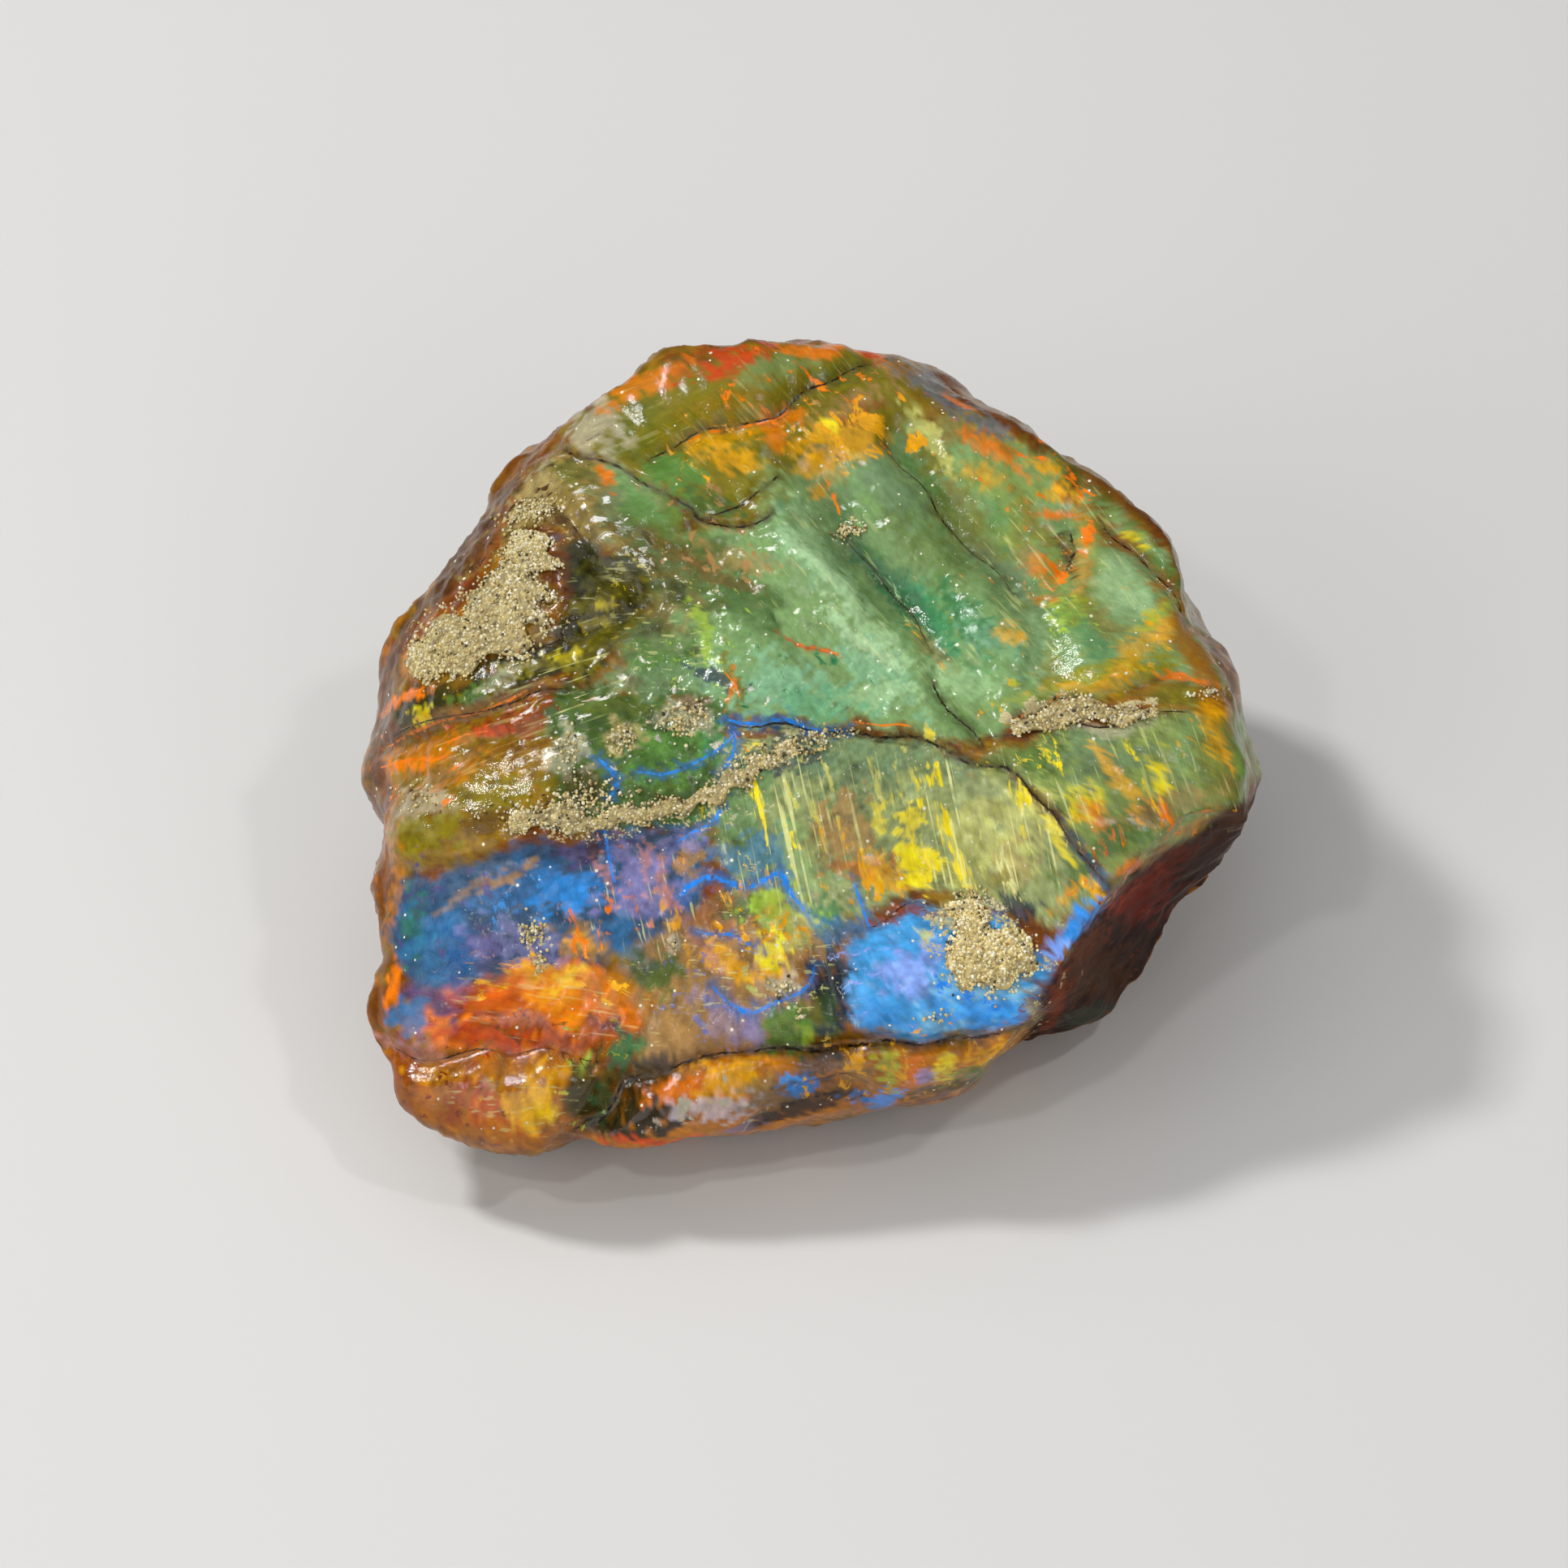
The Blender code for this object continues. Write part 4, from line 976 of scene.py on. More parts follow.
# %% Eye, seams and cheek
LEFT_BLOTS = (
    ("olive", 750, 740, 34, 44, 20, .8), ("yellow", 745, 745, 12, 8, 30, .8),
    ("yellow", 740, 775, 22, 7, 8, .8), ("bottle", 725, 705, 26, 22, -30, .6),
    ("olive", 735, 800, 44, 22, 10, .7), ("yellow", 690, 806, 26, 7, 12, .6),
    ("olive", 640, 830, 70, 9, 18, .8), ("leaf", 590, 845, 34, 9, 20, .7),
    ("yellow", 525, 885, 12, 15, 20, .9), ("orange", 495, 865, 34, 7, 30, .9),
    ("milk", 620, 835, 30, 8, 15, .4), ("leaf", 815, 815, 44, 20, 15, .6),
    ("sage", 800, 840, 60, 17, 4, .6), ("lime", 865, 780, 8, 34, 15, .6),
    ("slate", 880, 832, 34, 12, -20, .85), ("olive", 905, 830, 7, 34, 12, .7),
    ("orange", 902, 845, 3, 30, -12, .6), ("rust", 640, 890, 56, 18, 16, .85),
    ("ember", 610, 905, 24, 9, 10, .8), ("honey", 525, 930, 56, 14, 18, .9),
    ("orange", 490, 945, 30, 7, 10, .7), ("haze", 550, 945, 40, 10, 12, .7),
    ("milk", 530, 990, 34, 28, 40, .5), ("olive", 620, 975, 56, 20, 5, .7),
    ("umber", 600, 1010, 44, 14, 10, .6), ("olive", 530, 1030, 40, 22, 15, .8),
    ("honey", 475, 1010, 12, 60, 0, .8), ("rust", 470, 1000, 10, 90, 0, .7),
    ("skin", 472, 1120, 10, 80, 0, .8), ("honey", 492, 1090, 10, 50, -10, .5),
    ("milk", 705, 935, 26, 26, 0, .45), ("umber", 720, 980, 26, 30, 0, .6),
    ("leaf", 820, 930, 56, 36, 10, .7), ("milk", 850, 885, 34, 20, -10, .35),
    ("silt", 770, 910, 22, 18, 0, .6), ("moss", 760, 870, 50, 14, -6, .7),
    ("rust", 850, 870, 26, 7, -30, .4), ("slate", 970, 930, 60, 24, 12, .8),
    ("rust", 925, 900, 26, 6, 0, .7), ("honey", 565, 955, 36, 8, 25, .6),
    ("skin", 640, 925, 46, 10, 10, .5),
)
wash_blots(LEFT_BLOTS, 0.2)
print("left side:", len(LEFT_BLOTS), "blots")

# %% [markdown]
# ## Blots below the long ledge
#
# A flat facet shows straw over sage, with flashes of gold where the resin is clear. The plate at its
# right is greener, and browner towards the rim.

# %% Straw plate and right plate
PLATE_BLOTS = (
    ("teal", 925, 1010, 40, 80, 8, .5), ("blue", 930, 1050, 40, 34, 0, .6),
    ("sage", 1040, 945, 60, 34, 0, .7), ("haze", 1040, 1020, 34, 40, 15, .75),
    ("orange", 1060, 1065, 40, 13, 8, .55), ("haze", 1015, 1040, 20, 26, 0, .6),
    ("jade", 990, 1060, 26, 60, 12, .5), ("straw", 1190, 1040, 46, 66, -8, .6),
    ("gold", 1095, 1075, 34, 24, -15, .7), ("yellow", 1128, 1070, 27, 24, -20, .97),
    ("yellow", 1120, 1010, 16, 22, -10, .7), ("yellow", 1085, 1010, 8, 18, 0, .5),
    ("straw", 1250, 1040, 40, 50, -8, .75), ("haze", 1245, 1060, 26, 34, 0, .4),
    ("sage", 1120, 935, 80, 17, -6, .6), ("straw", 1270, 985, 22, 26, -30, .6),
    ("deep jade", 1310, 1070, 26, 34, 30, .7), ("gold", 1340, 1095, 17, 9, -30, .9),
    ("blue", 1345, 1065, 9, 30, 38, .7), ("umber", 1280, 990, 60, 9, -50, .6),
    ("deep jade", 1275, 930, 34, 14, 0, .7), ("yellow", 1325, 985, 20, 22, -10, .6),
    ("gold", 1335, 1000, 17, 15, 0, .7), ("sage", 1350, 935, 50, 24, 0, .7),
    ("yellow", 1421, 962, 10, 28, -4, .97), ("haze", 1405, 1005, 40, 16, 10, .75),
    ("deep jade", 1375, 1035, 34, 20, 20, .8), ("jade", 1460, 950, 17, 60, 5, .6),
    ("olive", 1490, 950, 22, 60, 0, .5), ("haze", 1505, 940, 9, 44, 0, .5),
    ("leaf", 1520, 920, 16, 50, 0, .5), ("skin", 1535, 950, 10, 40, -10, .6),
    ("honey", 1460, 1015, 34, 6, 30, .6), ("orange", 1385, 1068, 14, 8, 30, .7),
    ("slate", 1330, 1050, 8, 44, 40, .8), ("teal", 1010, 1125, 34, 20, 0, .7),
    ("gold", 1372, 962, 46, 10, -62, .6), ("haze", 1442, 985, 40, 18, 20, .5),
    ("yellow", 1300, 1040, 34, 7, -60, .6), ("orange", 1345, 1012, 26, 7, -60, .6),
    ("gold", 1490, 915, 30, 9, -60, .6), ("milk", 1360, 905, 50, 8, 4, .5),
    ("navy", 1240, 1115, 34, 12, -14, .8), ("olive", 1215, 1080, 60, 14, 0, .4),
)
wash_blots(PLATE_BLOTS, 0.22)
print("plates:", len(PLATE_BLOTS), "blots")

# %% [markdown]
# ## Blots of the foot of the face
#
# The lowest third is the most colourful: a blue band with violet and rose, embers under it, brown and
# gold beside a dark pit, the bright blue field, and clear honey and smoky resin along the foot. The
# dark blots in the two notches of the foot are painted shade.

# %% Blue band, embers, blue field, lobe and foot
LOW_BLOTS = (
    ("teal", 520, 1140, 17, 40, 0, .5), ("blue", 560, 1170, 46, 46, 0, .7),
    ("deep blue", 570, 1180, 14, 40, 0, .6), ("sky", 705, 1100, 44, 24, 10, .55),
    ("cheek blue", 640, 1090, 50, 22, 20, .6), ("plum", 730, 1045, 44, 15, 12, .7),
    ("umber", 750, 1035, 20, 17, 0, .7), ("haze", 625, 1082, 34, 8, 28, .8),
    ("haze", 575, 1100, 40, 6, 38, .5), ("violet", 800, 1085, 46, 50, 0, .9),
    ("rose", 752, 1080, 9, 30, 20, .75), ("rose", 795, 1065, 6, 26, 12, .7),
    ("rose", 825, 1090, 7, 34, 20, .7), ("haze", 855, 1062, 17, 30, 0, .85),
    ("violet", 850, 1035, 30, 17, 20, .8), ("violet", 650, 1160, 60, 24, -8, .6),
    ("plum", 600, 1165, 26, 26, 0, .5), ("haze", 720, 1155, 26, 26, 0, .85),
    ("gold", 718, 1162, 12, 12, 0, .5), ("blue", 770, 1150, 26, 22, 0, .6),
    ("deep jade", 815, 1190, 34, 22, -15, .85), ("shade green", 790, 1180, 22, 14, 0, .6),
    ("plum", 545, 1232, 44, 20, -8, .9), ("blue", 515, 1252, 26, 24, 0, .85),
    ("orange", 489, 1212, 9, 26, 0, .95), ("rose", 520, 1288, 40, 9, -6, .7),
    ("rose", 650, 1252, 44, 8, -10, .65), ("dark ember", 640, 1262, 64, 7, -8, .8),
    ("dark ember", 590, 1238, 40, 6, -14, .7), ("flame", 690, 1215, 40, 26, -35, .85),
    ("spark", 706, 1206, 22, 9, 40, .8), ("flame tip", 665, 1200, 20, 8, 35, .8),
    ("ember", 610, 1222, 44, 12, -6, .6), ("ember", 600, 1275, 60, 14, -8, .9),
    ("red band", 680, 1285, 50, 12, -5, .8), ("rust", 745, 1275, 34, 14, 0, .7),
    ("honey", 770, 1215, 30, 24, -20, .6), ("navy", 757, 1262, 22, 9, -25, .8),
    ("teal", 775, 1290, 22, 24, 30, .8), ("violet", 905, 1255, 44, 22, -25, .75),
    ("haze", 860, 1240, 50, 40, 0, .4), ("navy", 815, 1302, 26, 9, -10, .7),
    ("deep jade", 920, 1115, 34, 20, -15, .8), ("rust", 880, 1120, 24, 30, 0, .5),
    ("lime", 965, 1120, 44, 24, -10, .75), ("straw", 985, 1140, 26, 26, 0, .7),
    ("yellow", 950, 1172, 13, 26, -10, .95), ("gold", 900, 1180, 44, 17, -15, .8),
    ("rose", 868, 1165, 8, 54, 35, .6), ("milk", 834, 1160, 7, 15, 0, .8),
    ("gold", 940, 1196, 28, 7, 0, .9), ("milk", 962, 1213, 16, 16, 0, .75),
    ("leaf", 970, 1265, 24, 22, 0, .85), ("lime", 988, 1272, 9, 9, 0, .7),
    ("navy", 1022, 1215, 26, 52, 12, .95), ("deep jade", 1010, 1250, 24, 26, 0, .6),
    ("lake", 1035, 1145, 26, 14, 0, .8), ("lilac", 1120, 1195, 34, 30, -30, .8),
    ("ice", 1200, 1222, 54, 26, 10, .6), ("ice", 1150, 1255, 50, 12, 0, .5),
    ("sky", 1200, 1245, 60, 17, 0, .8), ("blue shade", 1080, 1250, 30, 16, 0, .7),
    ("lilac", 1180, 1160, 34, 14, 0, .5), ("straw", 1138, 1152, 10, 9, 0, .8),
    ("rust", 1115, 1127, 50, 6, 4, .8), ("sky", 1322, 1140, 44, 15, 42, .95),
    ("lilac", 1298, 1160, 17, 14, 30, .7), ("gold", 1310, 1103, 26, 6, 38, .7),
    ("silt", 1270, 1245, 8, 34, 12, .8), ("olive", 1255, 1262, 17, 6, 20, .8),
    ("rust", 500, 1330, 26, 50, -20, .7), ("lobe honey", 600, 1330, 70, 40, 0, .6),
    ("gold", 655, 1350, 40, 34, 20, .9), ("clear gold", 660, 1362, 24, 20, 30, .9),
    ("ember", 618, 1352, 40, 8, -60, .7), ("clear gold edge", 700, 1322, 30, 8, 10, .7),
    ("lobe rust", 572, 1345, 13, 34, -20, .7), ("ember", 605, 1362, 17, 24, -15, .6),
    ("skin", 540, 1385, 60, 9, -20, .7), ("gold", 560, 1318, 40, 8, 0, .5),
    ("bottle", 725, 1335, 24, 44, -12, .9), ("teal", 752, 1340, 10, 40, -22, .7),
    # Painted shade: foot shade and cognac shade darken the notches at the foot.
    ("lime", 722, 1302, 4, 14, -10, .8), ("foot shade", 785, 1372, 46, 26, 10, .95),
    ("cognac", 800, 1330, 20, 15, 0, .8), ("orange", 845, 1332, 40, 14, 10, .85),
    # Painted highlight: a whitish lilac glow laid on the foot.
    ("gold", 905, 1322, 40, 24, 15, .85), ("shell", 880, 1356, 50, 15, 6, .7),
    ("foot grey", 950, 1345, 40, 20, 8, .6), ("violet", 925, 1378, 32, 7, 14, .7),
    ("sky", 985, 1328, 20, 15, 0, .95), ("slate", 1015, 1308, 30, 20, 0, .7),
    ("cognac", 990, 1360, 60, 10, 14, .9), ("haze", 1055, 1312, 16, 22, 0, .8),
    ("sky", 1078, 1345, 34, 12, 12, .85), ("lime", 1092, 1308, 14, 22, 0, .6),
    ("orange", 1125, 1312, 20, 20, 0, .7), ("lilac", 1145, 1320, 15, 12, 0, .6),
    ("yellow", 1165, 1308, 11, 24, 8, .85), ("gold", 1225, 1288, 42, 12, 14, .9),
    ("leaf", 1205, 1312, 30, 10, 20, .8), ("ember", 800, 1402, 62, 6, 2, .9),
    ("honey", 1000, 1380, 70, 6, 12, .8), ("bottle", 1170, 1335, 70, 7, 14, .7),
)
wash_blots(LOW_BLOTS, 0.2)
print("foot:", len(LOW_BLOTS), "blots, mean colour", np.round(paint.mean(axis=0), 3))

# %% [markdown]
# ## The dark break
#
# The fresh break faces down and away from the light. Its near-black cognac is partly the deep resin's
# own colour and partly painted shade, and its red glow is painted light coming back out of the resin.

# %% Cognac break with painted shade and a painted red glow, and the brown edge at the left
LEFT_EDGE = ((640, 590), (590, 645), (540, 715), (488, 790), (468, 860), (464, 940), (468, 1010))
BREAK_BLOTS = (
    ("red glow", 1388, 1098, 30, 9, 38, .8), ("red ridge", 1440, 1066, 46, 12, 36, .8),
    ("break brown", 1330, 1180, 50, 16, 60, .6), ("red depth", 1405, 1108, 34, 26, 30, .9),
    ("break umber", 1350, 1205, 50, 30, 20, .8), ("knob rust", 1292, 1235, 10, 44, -12, .7),
    ("knob green", 1345, 1255, 46, 14, 14, .8), ("break rim", 1530, 990, 50, 9, 45, .7),
    ("break dark", 1470, 1050, 60, 20, 40, .6),
)
wash("edge brown", stroke(LEFT_EDGE, 9, 6, 5), 0.75)
# Painted shade, in part: the break's near-black cognac also stands for the shade it lies in.
wash("cognac", patch(BREAK, 5, 3))
broken_off = patch(BREAK, 6, 3)
wash_blots(BREAK_BLOTS)
print("the break covers", int((broken_off > 0.5).sum()), "points")

# %% [markdown]
# ## What shows through
#
# Nearly everywhere a second colour shows through in crisp flecks: gold under the straw plate, orange
# under the crown, lilac under the blue. On the left side near-white flecks are painted glints instead.
# The material mixes it in where a fine noise is high, so the flecks are sharper than the points of the
# mesh.
# The noise is drawn out along the grain of the resin.

# %% Second colours, and the run of the grain
# Painted highlights: the painted glint rows put near-white flecks where the wet left side glints.
SHOWS = (
    ("orange", 940, 520, 170, 60, 22, .42), ("gold", 1050, 545, 80, 40, 0, .5),
    ("gold", 880, 560, 90, 40, -20, .4), ("ember", 900, 440, 110, 20, 20, .5),
    ("umber", 700, 580, 90, 60, 30, .3), ("umber", 620, 650, 110, 50, 45, .42),
    ("pale jade", 1060, 740, 180, 90, -48, .26), ("pale jade", 1240, 760, 110, 90, -48, .28),
    ("haze", 880, 700, 110, 70, -35, .42), ("teal", 960, 820, 110, 50, -10, .35),
    ("gold", 1210, 800, 80, 60, -40, .30), ("orange", 1300, 690, 60, 70, 0, .42),
    ("orange", 1280, 590, 60, 40, -30, .42), ("gold", 1380, 790, 90, 60, 20, .36),
    ("lime", 1330, 790, 70, 50, 0, .34), ("chalk", 770, 670, 90, 22, -45, .46),
    ("yellow", 740, 770, 70, 60, 0, .32), ("yellow", 560, 870, 110, 26, 22, .32),
    ("chalk straw", 760, 830, 110, 24, 5, .34), ("lime", 860, 780, 60, 60, 0, .34),
    ("ember", 620, 900, 130, 34, 15, .40), ("chalk sand", 620, 960, 140, 60, 10, .33),
    ("orange", 520, 960, 60, 60, 0, .34), ("chalk grey", 800, 905, 120, 60, 0, .36),
    ("umber", 780, 970, 110, 50, 0, .32), ("milk", 960, 925, 70, 30, 8, .40),
    ("yellow", 960, 1020, 70, 90, 8, .38), ("straw", 1080, 980, 90, 70, 0, .42),
    ("gold", 1080, 1060, 80, 50, 0, .44), ("yellow", 1180, 1030, 80, 80, -8, .50),
    ("pale straw", 1260, 1030, 60, 80, -12, .42), ("yellow", 1290, 960, 60, 60, -40, .42),
    ("yellow", 1400, 960, 80, 60, 0, .36), ("gold", 1490, 940, 60, 60, 0, .36),
    ("orange", 1420, 1020, 90, 30, 25, .38), ("orange", 1345, 1090, 34, 26, 30, .42),
    ("dusk", 600, 1130, 130, 80, 0, .40), ("clear blue", 690, 1100, 90, 40, 10, .40),
    ("rose", 800, 1080, 60, 70, 0, .40), ("orange", 740, 1150, 60, 40, 0, .42),
    ("amber glow", 690, 1215, 100, 40, -10, .48), ("rust", 640, 1270, 130, 30, -6, .45),
    ("gold", 930, 1160, 90, 60, -15, .46), ("violet", 880, 1240, 90, 60, -20, .42),
    ("straw", 960, 1220, 50, 40, 0, .36), ("straw", 1015, 1230, 44, 60, 10, .30),
    ("lilac", 1150, 1200, 110, 60, 0, .44), ("vein", 1220, 1220, 80, 50, 0, .42),
    ("amber glow", 640, 1350, 120, 50, 0, .40), ("rust", 560, 1350, 60, 50, 0, .42),
    ("lime", 740, 1320, 50, 60, 0, .32), ("milk", 880, 1350, 90, 40, 0, .42),
    ("gold", 1100, 1310, 150, 40, 8, .42), ("rust", 1360, 1180, 110, 90, 40, .34),
)
for colour, *shape, amount in SHOWS:
    sink(colour, blot(*shape), amount)

# Where the grain runs another way: middle, half lengths and turn of the oval, the grain's own
# direction in degrees and how far it is drawn out.
GRAINS = (
    (900, 500, 330, 130, 20, 22, 3.0), (1160, 700, 380, 240, -35, -50, 2.4),
    (600, 880, 200, 130, 20, 20, 3.0), (1130, 1020, 270, 125, 0, -78, 9.0),
    (1420, 960, 160, 110, 0, -70, 5.0), (680, 1120, 230, 90, 10, -75, 2.0),
    (1160, 1200, 130, 80, 0, 10, 1.6), (660, 1240, 150, 60, -5, -8, 2.4),
    (1010, 1330, 260, 70, 8, -84, 2.0),
)


def grain_flow():
    """Coordinates in mm for noise: along the grain and shortened, across it, and through the stone."""
    flow = seen.copy()
    flow[back > 0.5] *= 0.22
    for x, y, long, short, turn, run, stretch in GRAINS:
        here = blot(x, y, long, short, turn, 0.1) > 0.5
        along, across = turned(seen[here, 0], seen[here, 1], run)
        flow[here, :2] = np.stack((along / stretch, across), axis=1)
    return flow


flow = grain_flow()
print(len(SHOWS), "second colours; cover runs to", round(float(cover.max()), 2))

# %% [markdown]
# ## Light and dark mottling
#
# Resin is cloudy, so no zone has one even tone. Three sizes of clouds lighten and darken the paint.
# The jade, the crown and the break are calmer, and take a quarter of it.

# %% Mottled tone
calm = np.clip(patch(JADE) + patch(CROWN) + broken_off, 0, 1)
mottled = 1 - 0.75 * calm
tones = 1 + mottled * (0.14 * rough + 0.12 * crumbly + 0.08 * torn_too)
paint = paint * np.clip(tones, 0.35, 1.7)[:, None]
print("tones run from", round(float(tones.min()), 2), "to", round(float(tones.max()), 2))

# %% [markdown]
# ## Cracks, veins and threads
#
# The finest lines are thinner than the mesh is fine. So the mesh stores how far each point is from a
# line and on which side, in units of the line's half width. Between points that number passes exactly
# through nothing on the line, and the material draws it there as thin as it really is.

# %% Distances to dark cracks, blue veins and orange threads, and painted shade in hollows
# Each row: the places along a line, and its half width in mm.
DARK_CRACKS = (
    (((900, 886), (979, 897), (1043, 903), (1114, 914), (1164, 925), (1204, 942), (1250, 950),
    (1279, 996), (1307, 1028), (1357, 1086)), 0.16), (((806, 1318), (860, 1300), (927, 1286),
    (967, 1281), (1024, 1288), (1101, 1277), (1168, 1273), (1222, 1268), (1270, 1257)), 0.16),
    (((683, 551), (733, 573), (794, 598), (844, 623), (861, 641), (910, 648), (950, 636)), 0.16),
    (((861, 641), (890, 628), (915, 619), (940, 609), (961, 591)), 0.10), (((801, 566), (833, 551),
    (904, 519), (964, 501), (1007, 473), (1079, 446)), 0.12),
    (((1150, 840), (1164, 862), (1186, 894), (1211, 925)), 0.14),
    (((1357, 640), (1411, 700), (1440, 730), (1466, 775)), 0.10),
    (((1312, 655), (1316, 685), (1306, 712)), 0.14), (((1211, 912), (1270, 905), (1330, 905),
    (1400, 888), (1460, 884)), 0.10), (((700, 1402), (729, 1377), (761, 1348), (800, 1316)), 0.16),
    (((1062, 1140), (1100, 1124), (1135, 1117), (1170, 1117)), 0.08),
    (((935, 1380), (981, 1352), (1034, 1344)), 0.16), (((663, 616), (690, 632), (720, 666)), 0.12),
    (((1100, 560), (1150, 622), (1214, 694), (1250, 740)), 0.06),
    (((1040, 655), (1090, 720), (1150, 800)), 0.06),
    (((470, 917), (530, 894), (590, 873), (650, 858), (705, 846)), 0.11),
    (((660, 806), (694, 782), (716, 748)), 0.09), (((490, 1290), (545, 1299), (606, 1290), (690, 1296),
    (770, 1306)), 0.07),
)
BLUE_VEINS = (
    (((896, 882), (936, 887), (979, 894), (1018, 899), (1050, 903)), 0.20),
    (((740, 930), (754, 957), (758, 985)), 0.18),
    (((779, 954), (826, 954), (861, 943), (886, 921), (905, 900)), 0.13), (((906, 893), (904, 932),
    (890, 971), (883, 1000), (861, 1021), (836, 1040)), 0.18), (((838, 1100), (850, 1092), (883, 1082),
    (919, 1089), (958, 1080), (976, 1100), (1000, 1130)), 0.26),
    (((860, 1141), (876, 1146), (901, 1145), (940, 1160)), 0.13), (((1000, 1180), (990, 1210),
    (970, 1235), (940, 1243), (905, 1232), (880, 1215)), 0.20),
    (((758, 1010), (757, 1060), (765, 1110)), 0.12),
    (((1048, 1080), (1060, 1110), (1068, 1140)), 0.12),
)
THREADS = (
    (((470, 885), (500, 858), (520, 845)), 0.14),
    (((468, 926), (547, 894), (601, 869), (660, 848)), 0.16),
    (((466, 950), (540, 925), (610, 905)), 0.12), (((850, 548), (904, 523), (964, 505)), 0.16),
    (((1230, 898), (1262, 880), (1290, 868), (1300, 856)), 0.12),
    (((1428, 834), (1450, 829), (1476, 836)), 0.10), (((985, 787), (1003, 795), (1024, 802)), 0.12),
    (((1057, 890), (1090, 893), (1114, 902)), 0.10), (((1010, 590), (1022, 615), (1040, 645)), 0.12),
    (((893, 808), (903, 835), (912, 860)), 0.08), (((1290, 1082), (1318, 1098), (1300, 1112)), 0.10),
    (((905, 895), (915, 915), (925, 935)), 0.06),
)


def line_field(strokes):
    """Signed distance to the nearest of many strokes in half widths, and 1 close by, 0 far off."""
    offset = np.full(len(places), 9.0)
    near = np.zeros(len(places))
    for points, width in strokes:
        corners = np.array(points, float)
        here = np.flatnonzero(near_by(corners.min(axis=0) - 25, corners.max(axis=0) + 25))
        gap, side, along = nearest(drawn[here], line(points))
        taper = np.sqrt(np.sin(math.pi * np.clip(along, 0.02, 0.98)))
        gap = gap / (0.75 * width * (0.35 + 0.65 * taper))
        closer = gap < np.abs(offset[here])
        offset[here[closer]] = (gap * side)[closer]
        ends = smooth_step(0.0, 0.03, along) * smooth_step(1.0, 0.97, along)
        near[here[closer]] = (ends * smooth_step(0.9, 0.5, gap * width))[closer]
    broken = smooth_step(-0.75, -0.15, crumbly + 0.5 * rough_too)
    return np.clip(offset, -9, 9), near * front * broken


fields = [line_field(strokes) for strokes in (DARK_CRACKS, BLUE_VEINS, THREADS)]
line_offset = np.stack([offset for offset, _ in fields], axis=1)
line_near = np.stack([near for _, near in fields], axis=1)
for points, width in DARK_CRACKS:
    wash("umber", stroke(points, 25 * width, 4, 3, crumbly), 0.55)
for points, width in BLUE_VEINS:
    wash("vein glow", stroke(points, 34 * width, 5, 4, crumbly), 0.6)
# Painted shade: the paint is darkened in the furrows and hollows of the relief, where shade falls.
hollow_shade = smooth_step(0.15, 1.3, -face_relief(seen[:, :2]))
wash("sunk shade", hollow_shade * front, 0.45)
print("lines lie within reach of", int((line_near.max(axis=1) > 0).sum()), "points")

# %% [markdown]
# ## Clear, dusty, oiled and streaked
#
# Real amber is see-through: light goes in, bends, is absorbed and leaves elsewhere. Milky zones send
# most of it straight back. Four numbers at each point say how clear the resin is, how much sandy dust
# lies in its pores, how wet with oil it is and how many pale striae it shows. The break is dry.

# %% Clearness, dust, oil and striae
# Each row: the middle of an oval, its half lengths, its turn in degrees and the amount.
CLEAR_SPOTS = (
    (640, 1350, 150, 60, 0, .3), (1010, 1335, 260, 50, 8, .3), (720, 740, 90, 70, 0, .4),
    (540, 880, 90, 30, 20, .4), (660, 1230, 150, 60, -5, .15), (1060, 540, 120, 40, 0, .15),
    (1120, 1010, 180, 100, 0, .12), (1400, 980, 130, 70, 0, .15), (920, 1170, 110, 70, 0, .2),
)
DUST_SPOTS = (
    (640, 725, 80, 50, 60, .45), (560, 785, 70, 42, 35, .45), (655, 628, 36, 14, 20, .6),
    (700, 590, 60, 20, -35, .36), (730, 535, 36, 36, 0, .38), (800, 1002, 150, 26, 6, .48),
    (700, 1010, 70, 24, 5, .55), (930, 945, 50, 26, 20, .55), (985, 915, 52, 14, 12, .55),
    (770, 912, 18, 17, 0, .6), (845, 890, 32, 22, 0, .55), (1310, 880, 66, 20, 6, .9),
    (1390, 872, 46, 11, 6, .7), (1215, 1165, 72, 50, 0, .6), (1188, 1115, 26, 14, 0, .6),
    (664, 1148, 20, 20, 0, .6), (672, 1184, 12, 17, 0, .6), (520, 985, 36, 30, 0, .42),
    (962, 1212, 15, 14, 0, .5), (1505, 850, 24, 12, 20, .4), (1048, 656, 24, 12, 20, .5),
    (620, 960, 90, 34, 10, .28), (700, 940, 34, 40, 0, .4), (1270, 1240, 9, 34, 10, .5),
)
STREAK_SPOTS = (
    (960, 1010, 70, 100, 8, .7), (1190, 1030, 90, 90, -8, .9), (1290, 1010, 50, 90, -30, .6),
    (1060, 960, 70, 60, 0, .5), (1420, 950, 110, 60, 0, .45), (1060, 750, 60, 150, 40, .25),
    (740, 790, 90, 70, 20, .55), (640, 900, 150, 60, 15, .18), (860, 1160, 110, 70, -15, .5),
    (1000, 1210, 40, 60, 0, .45), (690, 1235, 120, 44, -8, .3), (900, 500, 200, 60, 20, .15),
    (1300, 700, 90, 120, -40, .35), (820, 800, 70, 60, 0, .35), (650, 1345, 100, 50, 0, .35),
)
BACK_CLEAR = 0.14
BREAK_CLEAR = 0.10
clear = BACK_CLEAR * back
for *shape, amount in CLEAR_SPOTS:
    clear = clear + (amount - clear) * blot(*shape)
clear = clear + (BREAK_CLEAR - clear) * broken_off
clear = clear * smooth_step(0.02, 0.06, clear)
back_dust = 0.55 * back * above(torn - 0.5 * wide + 0.3 * rough, 1.3, 0.4)
